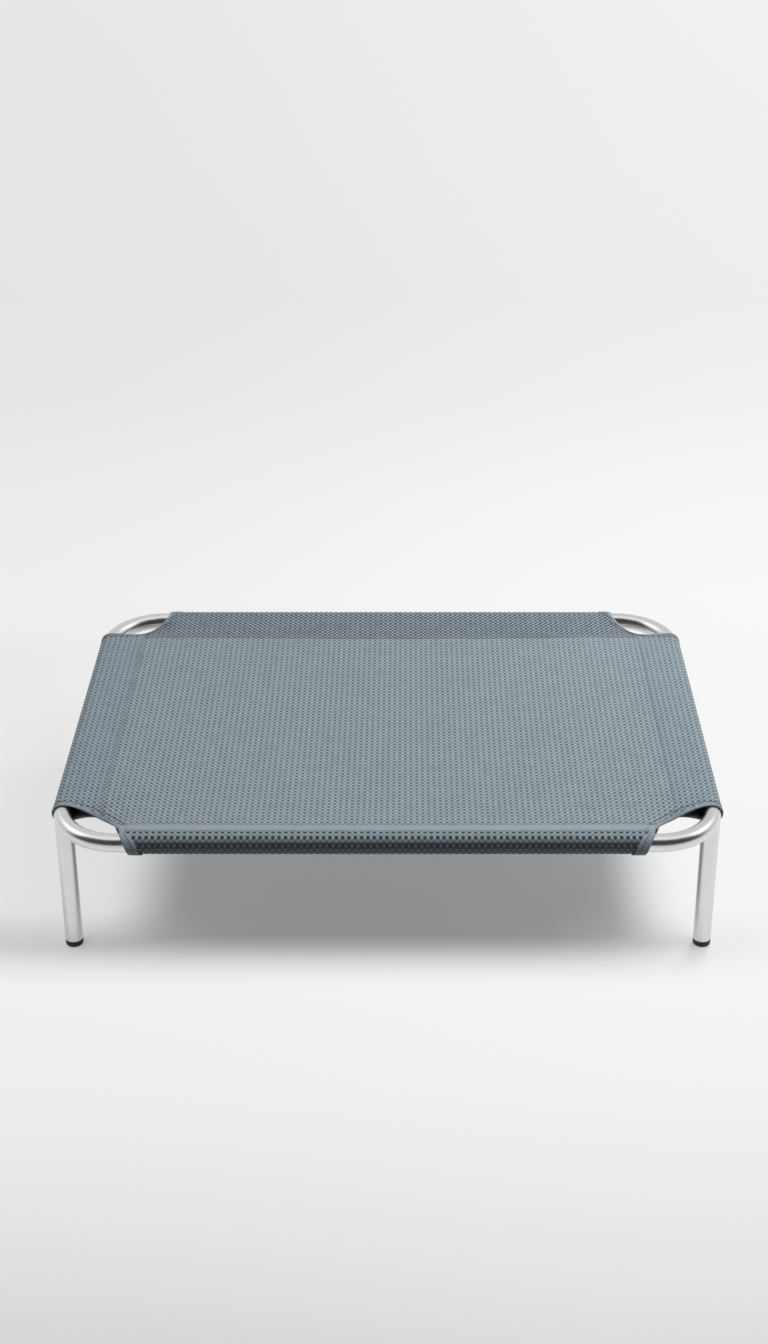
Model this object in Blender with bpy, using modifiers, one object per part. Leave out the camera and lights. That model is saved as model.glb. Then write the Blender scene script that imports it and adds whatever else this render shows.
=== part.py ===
"""Elevated pet bed, built as its real pieces: a knock-down aluminium tube frame on four legs,
and a woven sling whose sewn pockets hold the rails.

Units are metres, +Z is up, and the front rail lies at -Y. The origin is on the floor, under the
middle of the bed. Every size that can be set by itself is a named value below, and each piece
takes its size and place from them.
"""

import math

import bmesh
import bpy
from mathutils import Matrix, Vector

# Frame, measured between the centre lines of opposite rails
RAIL_SPAN_X = 0.895
RAIL_SPAN_Y = 0.672
RAIL_HEIGHT = 0.206
TUBE_OD = 0.025
TUBE_WALL = 0.0012
BEND_RADIUS = 0.083
BEND_SEGMENTS = 8
CORNER_TAIL = 0.060

# Legs stand under the bends, this far round from the side rail
LEG_ANGLE = math.radians(16.0)
LEG_TOP_DROP = 0.005

# Foot glides, pushed into the legs
FOOT_HEIGHT = 0.009
FOOT_ROUND = 0.003
FOOT_STEM = 0.018
FOOT_RIB_HEIGHT = 0.0012
FOOT_RIBS = 3

# Joiners inside the tubes, each held in its rail by one pan-head screw
JOINER_LENGTH = 0.110
JOINER_WALL = 0.0015
SCREW_INSET = 0.025
SCREW_TILT = math.radians(35.0)
SCREW_SHANK = 0.0020
SCREW_LENGTH = 0.009
SCREW_HEAD = 0.0035
SCREW_HEAD_HEIGHT = 0.0022

# Sling, measured inboard from the centre lines of the rails
FABRIC = 0.0012
POCKET_SLACK = 0.0004
SIDE_SEAM = 0.053
FRONT_SEAM = 0.026
BACK_SEAM = 0.082
SEAM_WIDTH = 0.006
PANEL_SAG = 0.014

# Corner cut-outs, from the centre lines of the two rails that meet there
CUT_ON_SIDE_RAIL = 0.074
CUT_ON_END_RAIL = 0.090
CUT_LEAD = 0.008
CUT_BOW = 0.015
CUT_SEGMENTS = 10
BINDING = 0.0013

# Gap between neighbouring pieces, and the distance that joins doubled points
GAP = 0.0003
MERGE = 0.00001

# Facets round each kind of piece
TUBE_SIDES = 24
JOINER_SIDES = 16
BINDING_SIDES = 6
FOOT_STEPS = 18
SCREW_STEPS = 10
WRAP_SEGMENTS = 12
PANEL_CELLS_X = 16
PANEL_CELLS_Y = 12

# Sizes that follow from the ones above
TUBE_R = TUBE_OD / 2.0
BORE_R = TUBE_R - TUBE_WALL
HALF_X = RAIL_SPAN_X / 2.0
HALF_Y = RAIL_SPAN_Y / 2.0
JOINT = BEND_RADIUS + CORNER_TAIL
JOINER_R = BORE_R - GAP
POCKET_IN_R = TUBE_R + POCKET_SLACK
POCKET_OUT_R = POCKET_IN_R + FABRIC
BINDING_WRAP_R = TUBE_R + GAP + BINDING
FABRIC_EDGE = 2.0 * BINDING + GAP
LEG_FROM_SIDE_RAIL = BEND_RADIUS * (1.0 - math.cos(LEG_ANGLE))
LEG_FROM_END_RAIL = BEND_RADIUS * (1.0 - math.sin(LEG_ANGLE))

# Which way each corner and each rail lies from the middle of the bed
CORNERS = {
    "front_left": (-1, -1),
    "front_right": (1, -1),
    "back_left": (-1, 1),
    "back_right": (1, 1),
}
RAILS = {
    "front": Vector((0.0, -1.0, 0.0)),
    "back": Vector((0.0, 1.0, 0.0)),
    "left": Vector((-1.0, 0.0, 0.0)),
    "right": Vector((1.0, 0.0, 0.0)),
}
SEAMS = {"front": FRONT_SEAM, "back": BACK_SEAM, "left": SIDE_SEAM, "right": SIDE_SEAM}
UP = Vector((0.0, 0.0, 1.0))


def clear_scene():
    """Remove every object, so that the file can be run again."""
    for obj in list(bpy.data.objects):
        bpy.data.objects.remove(obj, do_unlink=True)


def make_collection(name):
    """Return a new collection of the scene."""
    collection = bpy.data.collections.new(name)
    bpy.context.scene.collection.children.link(collection)
    return collection


def make_material(name, colour, roughness, metallic=0.0):
    """Return a material with one Principled shader."""
    material = bpy.data.materials.new(name)
    material.use_nodes = True
    shader = material.node_tree.nodes["Principled BSDF"]
    shader.inputs["Base Color"].default_value = (*colour, 1.0)
    shader.inputs["Roughness"].default_value = roughness
    shader.inputs["Metallic"].default_value = metallic
    material.diffuse_color = (*colour, 1.0)
    return material


def place(obj, collection, material=None):
    """Put an object in its collection, with its material and round faces shaded smooth."""
    for holder in list(obj.users_collection):
        holder.objects.unlink(obj)
    collection.objects.link(obj)
    if material is not None:
        obj.data.materials.clear()
        obj.data.materials.append(material)
        obj.data.shade_smooth()
        obj.data.set_sharp_from_angle(angle=math.radians(40.0))
    return obj


def hide_cutter(obj, cutters):
    """Keep a cutter out of the finished model."""
    obj.hide_render = True
    obj.display_type = "WIRE"
    return place(obj, cutters)


def mesh_of(curve_object):
    """Return a closed mesh object made from a curve object, which is removed."""
    bpy.context.view_layer.update()
    depsgraph = bpy.context.evaluated_depsgraph_get()
    mesh = bpy.data.meshes.new_from_object(curve_object.evaluated_get(depsgraph))
    name = curve_object.name
    matrix = curve_object.matrix_world.copy()
    bpy.data.objects.remove(curve_object, do_unlink=True)
    work = bmesh.new()
    work.from_mesh(mesh)
    bmesh.ops.remove_doubles(work, verts=work.verts, dist=MERGE)
    bmesh.ops.recalc_face_normals(work, faces=work.faces)
    closed = all(edge.is_manifold for edge in work.edges)
    if closed and work.calc_volume(signed=True) < 0.0:
        bmesh.ops.reverse_faces(work, faces=work.faces)
    work.to_mesh(mesh)
    work.free()
    solid = bpy.data.objects.new(name, mesh)
    solid.name = name
    solid.matrix_world = matrix
    bpy.context.scene.collection.objects.link(solid)
    return solid


def poly_spline(curve, points, cyclic=False):
    """Add a spline of straight runs through the points."""
    spline = curve.splines.new("POLY")
    spline.points.add(len(points) - 1)
    for slot, point in zip(spline.points, points):
        slot.co = (*point, 0.0) if len(point) == 3 else (*point, 0.0, 0.0)
    spline.use_cyclic_u = cyclic


def rod(name, points, radius, sides, caps=True):
    """Return a round rod along the points, or an open skin where it has no caps."""
    curve = bpy.data.curves.new(name, "CURVE")
    curve.dimensions = "3D"
    curve.bevel_depth = radius
    curve.bevel_resolution = (sides - 4) // 2
    curve.use_fill_caps = caps
    poly_spline(curve, points)
    obj = bpy.data.objects.new(name, curve)
    bpy.context.scene.collection.objects.link(obj)
    return mesh_of(obj)


def hollow_tube(name, points, radius, wall, sides):
    """Return a tube with open ends: a skin along the points, thickened inwards."""
    obj = rod(name, points, radius, sides, caps=False)
    shell = obj.modifiers.new("wall", "SOLIDIFY")
    shell.thickness = wall
    shell.offset = -1.0
    shell.use_even_offset = True
    return obj


def outline_plate(name, outlines, thickness, matrix):
    """Return a plate with the given closed outlines, holes included, centred on its plane."""
    curve = bpy.data.curves.new(name, "CURVE")
    curve.dimensions = "2D"
    curve.fill_mode = "BOTH"
    curve.extrude = thickness / 2.0
    for outline in outlines:
        poly_spline(curve, outline, cyclic=True)
    obj = bpy.data.objects.new(name, curve)
    bpy.context.scene.collection.objects.link(obj)
    obj.matrix_world = matrix
    return mesh_of(obj)


def turned(name, profile, steps):
    """Return a turned solid from a profile that runs down its outer side, top to bottom."""
    mesh = bpy.data.meshes.new(name)
    work = bmesh.new()
    verts = [work.verts.new((radius, 0.0, height)) for radius, height in profile]
    for upper, lower in zip(verts[:-1], verts[1:]):
        work.edges.new((upper, lower))
    work.to_mesh(mesh)
    work.free()
    obj = bpy.data.objects.new(name, mesh)
    screw = obj.modifiers.new("turn", "SCREW")
    screw.axis = "Z"
    screw.angle = 2.0 * math.pi
    screw.steps = steps
    screw.render_steps = steps
    screw.use_merge_vertices = True
    screw.merge_threshold = MERGE
    return obj


def cut(obj, cutter):
    """Cut one object with another."""
    difference = obj.modifiers.new(cutter.name, "BOOLEAN")
    difference.operation = "DIFFERENCE"
    difference.solver = "EXACT"
    difference.object = cutter


def axes_to_matrix(x_axis, y_axis, z_axis, origin):
    """Return the matrix that puts local axes along the given world directions."""
    matrix = Matrix((x_axis, y_axis, z_axis)).transposed().to_4x4()
    matrix.translation = origin
    return matrix


def rail_frame(side):
    """Return a rail's centre point, the way inboard from it and the half span along it."""
    outward = RAILS[side]
    distance = HALF_Y if outward.y else HALF_X
    half_length = HALF_X if outward.y else HALF_Y
    centre = outward * distance + UP * RAIL_HEIGHT
    return centre, -outward, half_length


def bend_point(corner, angle, height=RAIL_HEIGHT):
    """Return a point of a bend's centre line, the angle counted from the side rail's end."""
    sign_x, sign_y = CORNERS[corner]
    x = HALF_X - BEND_RADIUS * (1.0 - math.cos(angle))
    y = HALF_Y - BEND_RADIUS * (1.0 - math.sin(angle))
    return Vector((sign_x * x, sign_y * y, height))


def corner_route(corner):
    """Return the centre line of a corner tube: tail, bend, tail."""
    sign_x, sign_y = CORNERS[corner]
    bend = [
        bend_point(corner, math.radians(90.0) * step / BEND_SEGMENTS)
        for step in range(BEND_SEGMENTS + 1)
    ]
    side_end = Vector((sign_x * HALF_X, sign_y * (HALF_Y - JOINT), RAIL_HEIGHT))
    front_end = Vector((sign_x * (HALF_X - JOINT), sign_y * HALF_Y, RAIL_HEIGHT))
    return [side_end, *bend, front_end]


def corner_tubes(bed, aluminium):
    """Make the four bent tubes of the ring."""
    for corner in CORNERS:
        tube = hollow_tube("corner_tube_" + corner, corner_route(corner), TUBE_R, TUBE_WALL, TUBE_SIDES)
        place(tube, bed, aluminium)


def legs(bed, cutters, aluminium):
    """Make the four legs, their tops coped to the bend that they are welded under."""
    for corner in CORNERS:
        foot = bend_point(corner, LEG_ANGLE, FOOT_HEIGHT + GAP)
        top = bend_point(corner, LEG_ANGLE, RAIL_HEIGHT - LEG_TOP_DROP)
        leg = hollow_tube("leg_" + corner, [foot, top], TUBE_R, TUBE_WALL, TUBE_SIDES)
        cope = rod("cope_" + corner, corner_route(corner), TUBE_R + GAP, TUBE_SIDES)
        cut(leg, hide_cutter(cope, cutters))
        place(leg, bed, aluminium)


def foot_profile():
    """Return the turned outline of a foot glide, from its stem's top down to its flat sole."""
    stem_top = FOOT_HEIGHT + FOOT_STEM
    rib_r = BORE_R - GAP
    core_r = rib_r - FOOT_RIB_HEIGHT
    profile = [(0.0, stem_top), (core_r, stem_top)]
    spacing = FOOT_STEM / (FOOT_RIBS + 1)
    for rib in range(FOOT_RIBS):
        height = stem_top - spacing * (rib + 0.5)
        profile += [(core_r, height), (rib_r, height - spacing / 2.0), (core_r, height - spacing / 2.0)]
    profile += [(core_r, FOOT_HEIGHT), (TUBE_R, FOOT_HEIGHT), (TUBE_R, FOOT_ROUND)]
    for step in (1, 2, 3):
        angle = math.radians(30.0 * step)
        profile.append((TUBE_R - FOOT_ROUND * (1.0 - math.cos(angle)), FOOT_ROUND * (1.0 - math.sin(angle))))
    profile.append((0.0, 0.0))
    return profile


def foot_glides(bed, rubber):
    """Make the four foot glides under the legs."""
    for corner in CORNERS:
        foot = turned("foot_glide_" + corner, foot_profile(), FOOT_STEPS)
        foot.location = bend_point(corner, LEG_ANGLE, 0.0)
        place(foot, bed, rubber)


def joint_point(side, end):
    """Return where a rail meets a corner tube, and the way from there along the rail."""
    centre, _, half_length = rail_frame(side)
    outward = RAILS["right"] if RAILS[side].y else RAILS["back"]
    along = -outward * end
    return centre - along * (half_length - JOINT), along


def end_name(side, end):
    """Return the name of a rail's end."""
    if RAILS[side].y:
        return "right" if end > 0 else "left"
    return "back" if end > 0 else "front"


def screw_direction(side):
    """Return the way that a screw's head faces, tilted up from inboard."""
    _, inboard, _ = rail_frame(side)
    return inboard * math.cos(SCREW_TILT) + UP * math.sin(SCREW_TILT)


def screw_hole(side, end, cutters):
    """Return the cutter for the hole of one screw, through the rail's wall and the joiner's."""
    joint, along = joint_point(side, end)
    start = joint + along * SCREW_INSET
    facing = screw_direction(side)
    name = side + "_rail_hole_" + end_name(side, end)
    depth = TUBE_WALL + JOINER_WALL + 4.0 * GAP
    points = [start + facing * (TUBE_R - depth), start + facing * (TUBE_R + 2.0 * GAP)]
    hole = rod(name, points, SCREW_SHANK + GAP, SCREW_STEPS)
    return hide_cutter(hole, cutters)


def rails_and_joiners(bed, cutters, aluminium, inner_aluminium):
    """Make the four straight rails and the eight joiners, drilled for their screws."""
    for side in RAILS:
        start, along = joint_point(side, -1)
        finish, _ = joint_point(side, 1)
        rail = hollow_tube(
            side + "_rail", [start + along * GAP, finish - along * GAP], TUBE_R, TUBE_WALL, TUBE_SIDES
        )
        for end in (-1, 1):
            joint, inward = joint_point(side, end)
            half = inward * JOINER_LENGTH / 2.0
            joiner = hollow_tube(
                side + "_rail_joiner_" + end_name(side, end),
                [joint - half, joint + half],
                JOINER_R,
                JOINER_WALL,
                JOINER_SIDES,
            )
            hole = screw_hole(side, end, cutters)
            cut(rail, hole)
            cut(joiner, hole)
            place(joiner, bed, inner_aluminium)
        place(rail, bed, aluminium)


def screw_profile():
    """Return the turned outline of a pan-head screw, its seat at height zero."""
    return [
        (0.0, SCREW_HEAD_HEIGHT),
        (SCREW_HEAD * 0.6, SCREW_HEAD_HEIGHT * 0.9),
        (SCREW_HEAD * 0.95, SCREW_HEAD_HEIGHT * 0.5),
        (SCREW_HEAD, 0.0),
        (SCREW_SHANK, 0.0),
        (SCREW_SHANK, -SCREW_LENGTH + SCREW_SHANK),
        (0.0, -SCREW_LENGTH),
    ]


def screws(bed, steel):
    """Make the eight screws, their heads facing inboard inside the pockets."""
    for side in RAILS:
        facing = screw_direction(side)
        for end in (-1, 1):
            joint, along = joint_point(side, end)
            seat = joint + along * SCREW_INSET + facing * (TUBE_R + GAP)
            screw = turned(side + "_rail_screw_" + end_name(side, end), screw_profile(), SCREW_STEPS)
            screw.matrix_world = axes_to_matrix(along, facing.cross(along), facing, seat)
            place(screw, bed, steel)


def teardrop(radius, point):
    """Return an outline from the tube's top, round its outer side and back up to the point."""
    reach = point.length
    tangent = math.atan2(point.y, point.x) - math.acos(radius / reach)
    sweep = math.radians(90.0) - (tangent + 2.0 * math.pi)
    arc = [
        (
            radius * math.cos(math.radians(90.0) - sweep * step / WRAP_SEGMENTS),
            radius * math.sin(math.radians(90.0) - sweep * step / WRAP_SEGMENTS),
        )
        for step in range(WRAP_SEGMENTS + 1)
    ]
    return [*arc, tuple(point)]


def pocket(side, half_length):
    """Return one pocket of the sling: a sewn loop of fabric round its rail."""
    seam = SEAMS[side] - GAP / 2.0
    outer = teardrop(POCKET_OUT_R, Vector((seam, POCKET_OUT_R - 2.0 * FABRIC)))
    outer.insert(0, (seam, POCKET_OUT_R))
    inner = teardrop(POCKET_IN_R, Vector((seam - SEAM_WIDTH, POCKET_IN_R)))
    centre, inboard, _ = rail_frame(side)
    matrix = axes_to_matrix(inboard, UP, inboard.cross(UP), centre)
    return outline_plate(side + "_pocket", [outer, inner], 2.0 * half_length, matrix)


def cut_line(offset):
    """Return the plan of a corner's cut edge, moved into the fabric by an offset.

    The points are distances from the centre lines of the side rail and of the end rail.
    """
    start = Vector((CUT_LEAD, CUT_ON_SIDE_RAIL))
    end = Vector((CUT_ON_END_RAIL, CUT_LEAD))
    chord = end - start
    bow_way = Vector((-chord.y, chord.x)).normalized()
    radius = (chord.length / 2.0) ** 2 / (2.0 * CUT_BOW) + CUT_BOW / 2.0
    middle = (start + end) / 2.0 + bow_way * (CUT_BOW - radius)
    first = math.atan2(start.y - middle.y, start.x - middle.x)
    last = math.atan2(end.y - middle.y, end.x - middle.x)
    line = []
    for step in range(CUT_SEGMENTS + 1):
        angle = first + (last - first) * step / CUT_SEGMENTS
        line.append(middle + (radius + offset) * Vector((math.cos(angle), math.sin(angle))))
    return line


def to_corner(corner, plan):
    """Return the place on plan of distances from the two rails of a corner."""
    sign_x, sign_y = CORNERS[corner]
    return Vector((sign_x * (HALF_X - plan.x), sign_y * (HALF_Y - plan.y)))


def corner_cutters(cutters):
    """Make the four upright prisms that cut the sling's corners."""
    made = {}
    beyond = 4.0 * TUBE_R
    for corner in CORNERS:
        line = cut_line(FABRIC_EDGE)
        line.insert(0, Vector((-beyond, line[0].y)))
        line.append(Vector((line[-1].x, -beyond)))
        line.append(Vector((-beyond, -beyond)))
        outline = [to_corner(corner, plan) for plan in line]
        matrix = Matrix.Translation(UP * RAIL_HEIGHT)
        prism = outline_plate("corner_cut_" + corner, [outline], 8.0 * TUBE_R, matrix)
        made[corner] = hide_cutter(prism, cutters)
    return made


def sling_panel():
    """Return the panel between the seams, hanging a little lower in its middle."""
    low = Vector((-HALF_X + SIDE_SEAM, -HALF_Y + FRONT_SEAM)) + Vector((GAP, GAP)) / 2.0
    high = Vector((HALF_X - SIDE_SEAM, HALF_Y - BACK_SEAM)) - Vector((GAP, GAP)) / 2.0
    middle = (low + high) / 2.0
    half = (high - low) / 2.0
    top = RAIL_HEIGHT + POCKET_OUT_R
    mesh = bpy.data.meshes.new("sling_panel")
    work = bmesh.new()
    bmesh.ops.create_grid(work, x_segments=PANEL_CELLS_X, y_segments=PANEL_CELLS_Y, size=1.0)
    for vert in work.verts:
        sag = PANEL_SAG * (1.0 - vert.co.x**2) * (1.0 - vert.co.y**2)
        vert.co = (middle.x + half.x * vert.co.x, middle.y + half.y * vert.co.y, top - sag)
    work.to_mesh(mesh)
    work.free()
    panel = bpy.data.objects.new("sling_panel", mesh)
    sheet = panel.modifiers.new("fabric", "SOLIDIFY")
    sheet.thickness = FABRIC
    sheet.offset = -1.0
    return panel


def sling(bed, cutters, light_mesh, dark_mesh):
    """Make the sling: its panel, four pockets and the shared cuts at its corners."""
    prisms = corner_cutters(cutters)
    pieces = {
        "front": pocket("front", HALF_X),
        "back": pocket("back", HALF_X - SIDE_SEAM - GAP / 2.0),
        "left": pocket("left", HALF_Y),
        "right": pocket("right", HALF_Y),
    }
    for side, piece in pieces.items():
        for corner, prism in prisms.items():
            if side in corner:
                cut(piece, prism)
        place(piece, bed, dark_mesh)
    panel = sling_panel()
    for prism in prisms.values():
        cut(panel, prism)
    place(panel, bed, light_mesh)


def binding_route(corner):
    """Return the route of an edge binding: round the side rail, along the cut, round the other."""
    sign_x, sign_y = CORNERS[corner]
    line = cut_line(BINDING)
    wrap = [math.radians(90.0 + 180.0 * step / WRAP_SEGMENTS) for step in range(WRAP_SEGMENTS + 1)]
    route = []
    for angle in reversed(wrap):
        spot = to_corner(corner, Vector((BINDING_WRAP_R * math.cos(angle), line[0].y)))
        route.append(Vector((spot.x, spot.y, RAIL_HEIGHT + BINDING_WRAP_R * math.sin(angle))))
    for plan in line:
        spot = to_corner(corner, plan)
        route.append(Vector((spot.x, spot.y, RAIL_HEIGHT + BINDING_WRAP_R)))
    for angle in wrap:
        spot = to_corner(corner, Vector((line[-1].x, BINDING_WRAP_R * math.cos(angle))))
        route.append(Vector((spot.x, spot.y, RAIL_HEIGHT + BINDING_WRAP_R * math.sin(angle))))
    return route


def bindings(bed, tape):
    """Make the bound edge of each corner cut-out."""
    for corner in CORNERS:
        piece = rod("binding_" + corner, binding_route(corner), BINDING, BINDING_SIDES)
        place(piece, bed, tape)


def main():
    """Build the whole bed."""
    clear_scene()
    bed = make_collection("elevated_pet_bed")
    cutters = make_collection("cutters")
    aluminium = make_material("satin_aluminium", (0.78, 0.78, 0.79), 0.28, 1.0)
    inner_aluminium = make_material("plain_aluminium", (0.62, 0.63, 0.65), 0.45, 1.0)
    steel = make_material("screw_steel", (0.55, 0.55, 0.57), 0.35, 1.0)
    rubber = make_material("black_glide", (0.015, 0.015, 0.017), 0.55)
    light_mesh = make_material("mesh_single", (0.235, 0.300, 0.345), 0.62)
    dark_mesh = make_material("mesh_double", (0.165, 0.215, 0.250), 0.66)
    tape = make_material("binding_tape", (0.150, 0.200, 0.235), 0.72)
    corner_tubes(bed, aluminium)
    legs(bed, cutters, aluminium)
    foot_glides(bed, rubber)
    rails_and_joiners(bed, cutters, aluminium, inner_aluminium)
    screws(bed, steel)
    sling(bed, cutters, light_mesh, dark_mesh)
    bindings(bed, tape)


if __name__ == "__main__":
    main()
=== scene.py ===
"""Elevated pet bed: the looks of a tubular aluminium frame and its woven sling.

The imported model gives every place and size. This script dresses it: smooth bent tubes with
blended welds, moulded foot glides, a sling of woven mesh whose pockets wrap the rails, its
taped cut edges and stitches, and a plain pale studio. Units are metres, +Z is up.
"""

import logging
import math
from dataclasses import dataclass, field
from enum import Enum
from typing import Callable

import bmesh
import bpy
import numpy as np
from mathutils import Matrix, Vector


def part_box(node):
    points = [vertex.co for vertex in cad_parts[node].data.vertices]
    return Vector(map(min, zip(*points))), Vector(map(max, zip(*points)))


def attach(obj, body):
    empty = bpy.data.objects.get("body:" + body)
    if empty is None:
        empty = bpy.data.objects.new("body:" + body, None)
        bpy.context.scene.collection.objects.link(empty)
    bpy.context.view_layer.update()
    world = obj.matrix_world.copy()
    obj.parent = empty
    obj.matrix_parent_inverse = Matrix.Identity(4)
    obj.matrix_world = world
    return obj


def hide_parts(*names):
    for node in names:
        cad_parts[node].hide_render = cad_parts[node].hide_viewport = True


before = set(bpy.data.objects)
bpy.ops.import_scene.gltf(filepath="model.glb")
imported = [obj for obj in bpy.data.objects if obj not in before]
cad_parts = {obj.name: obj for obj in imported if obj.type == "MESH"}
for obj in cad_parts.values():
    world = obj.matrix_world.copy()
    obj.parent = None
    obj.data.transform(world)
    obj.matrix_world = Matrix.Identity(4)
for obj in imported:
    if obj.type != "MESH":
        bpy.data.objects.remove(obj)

LOG = logging.getLogger("pet_bed")
ROOT = "root"
FLAT_MAP = "flat"

Array = np.ndarray
Span = tuple[float, float]
Colour = tuple[float, float, float]
Place = tuple[float, float, float]
Placer = Callable[[Array, Array], Array]

WHITE: Colour = (1.0, 1.0, 1.0)

# Most values of a noise texture lie in this span.
NOISE_SPAN: Span = (0.3, 0.7)


class Corner(Enum):
    """A corner of the bed, with its signs along X and Y."""

    FRONT_LEFT = (-1, -1)
    FRONT_RIGHT = (1, -1)
    BACK_LEFT = (-1, 1)
    BACK_RIGHT = (1, 1)

    @property
    def label(self) -> str:
        """Return the corner's name as the nodes write it."""
        return self.name.lower()


class Side(Enum):
    """A side of the bed, with the way that it lies from the middle."""

    FRONT = (0, -1)
    BACK = (0, 1)
    LEFT = (-1, 0)
    RIGHT = (1, 0)

    @property
    def label(self) -> str:
        """Return the side's name as the nodes write it."""
        return self.name.lower()

    @property
    def is_end(self) -> bool:
        """Return True for the front and back, whose rails run along X."""
        return self.value[1] != 0

    @property
    def sign(self) -> int:
        """Return 1 for the sides towards +X and +Y, and -1 for the others."""
        return sum(self.value)


class Tree:
    """A short way to write shader nodes."""

    def __init__(self, tree: bpy.types.NodeTree) -> None:
        """Write into a tree."""
        self.tree = tree

    def add(self, kind: str, **settings: object) -> bpy.types.Node:
        """Add a node.

        Args:
            kind: the node's type name without its ShaderNode prefix.
            settings: attributes of the node to set.

        Returns:
            The new node.
        """
        node = self.tree.nodes.new("ShaderNode" + kind)
        for name, value in settings.items():
            setattr(node, name, value)
        return node

    def feed(self, socket: bpy.types.NodeSocket, value: object) -> None:
        """Link a socket to another, or set its value.

        Args:
            socket: the input to fill.
            value: an output socket, a number or a colour.
        """
        if isinstance(value, bpy.types.NodeSocket):
            self.tree.links.new(value, socket)
        elif isinstance(value, tuple) and len(value) == 3 and socket.type == "RGBA":
            socket.default_value = (*value, 1.0)
        else:
            socket.default_value = value

    def maths(self, operation: str, *values: object) -> bpy.types.NodeSocket:
        """Return the output of a Math node, or of a chain of them for more than two values.

        Args:
            operation: what the nodes do.
            values: the sockets or numbers that they work on.

        Returns:
            The result's socket.
        """
        node = self.add("Math", operation=operation)
        for socket, value in zip(node.inputs, values[:2]):
            self.feed(socket, value)
        if len(values) > 2:
            return self.maths(operation, node.outputs[0], *values[2:])
        return node.outputs[0]

    def ramp(self, value: object, span: Span, to: Span = (0.0, 1.0)) -> bpy.types.NodeSocket:
        """Return a value mapped smoothly from one span to another.

        Args:
            value: the socket to map.
            span: the values where the ramp starts and ends.
            to: what it gives there.

        Returns:
            The result's socket.
        """
        node = self.add("MapRange", interpolation_type="SMOOTHSTEP")
        self.feed(node.inputs["Value"], value)
        for name, number in zip(("From Min", "From Max", "To Min", "To Max"), (*span, *to)):
            node.inputs[name].default_value = number
        return node.outputs[0]

    def parts(self, vector: object) -> tuple[bpy.types.NodeSocket, ...]:
        """Take a vector apart.

        Args:
            vector: the socket to take apart.

        Returns:
            The sockets of X, Y and Z.
        """
        node = self.add("SeparateXYZ")
        self.feed(node.inputs[0], vector)
        return tuple(node.outputs)

    def blend(self, share: object, first: object, second: object) -> bpy.types.NodeSocket:
        """Return a shader blended from two by a share.

        Args:
            share: how much of the second shows.
            first: the shader at a share of 0.
            second: the one at 1.

        Returns:
            The blended shader's socket.
        """
        node = self.add("MixShader")
        for socket, value in zip(node.inputs, (share, first, second)):
            self.feed(socket, value)
        return node.outputs[0]


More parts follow.
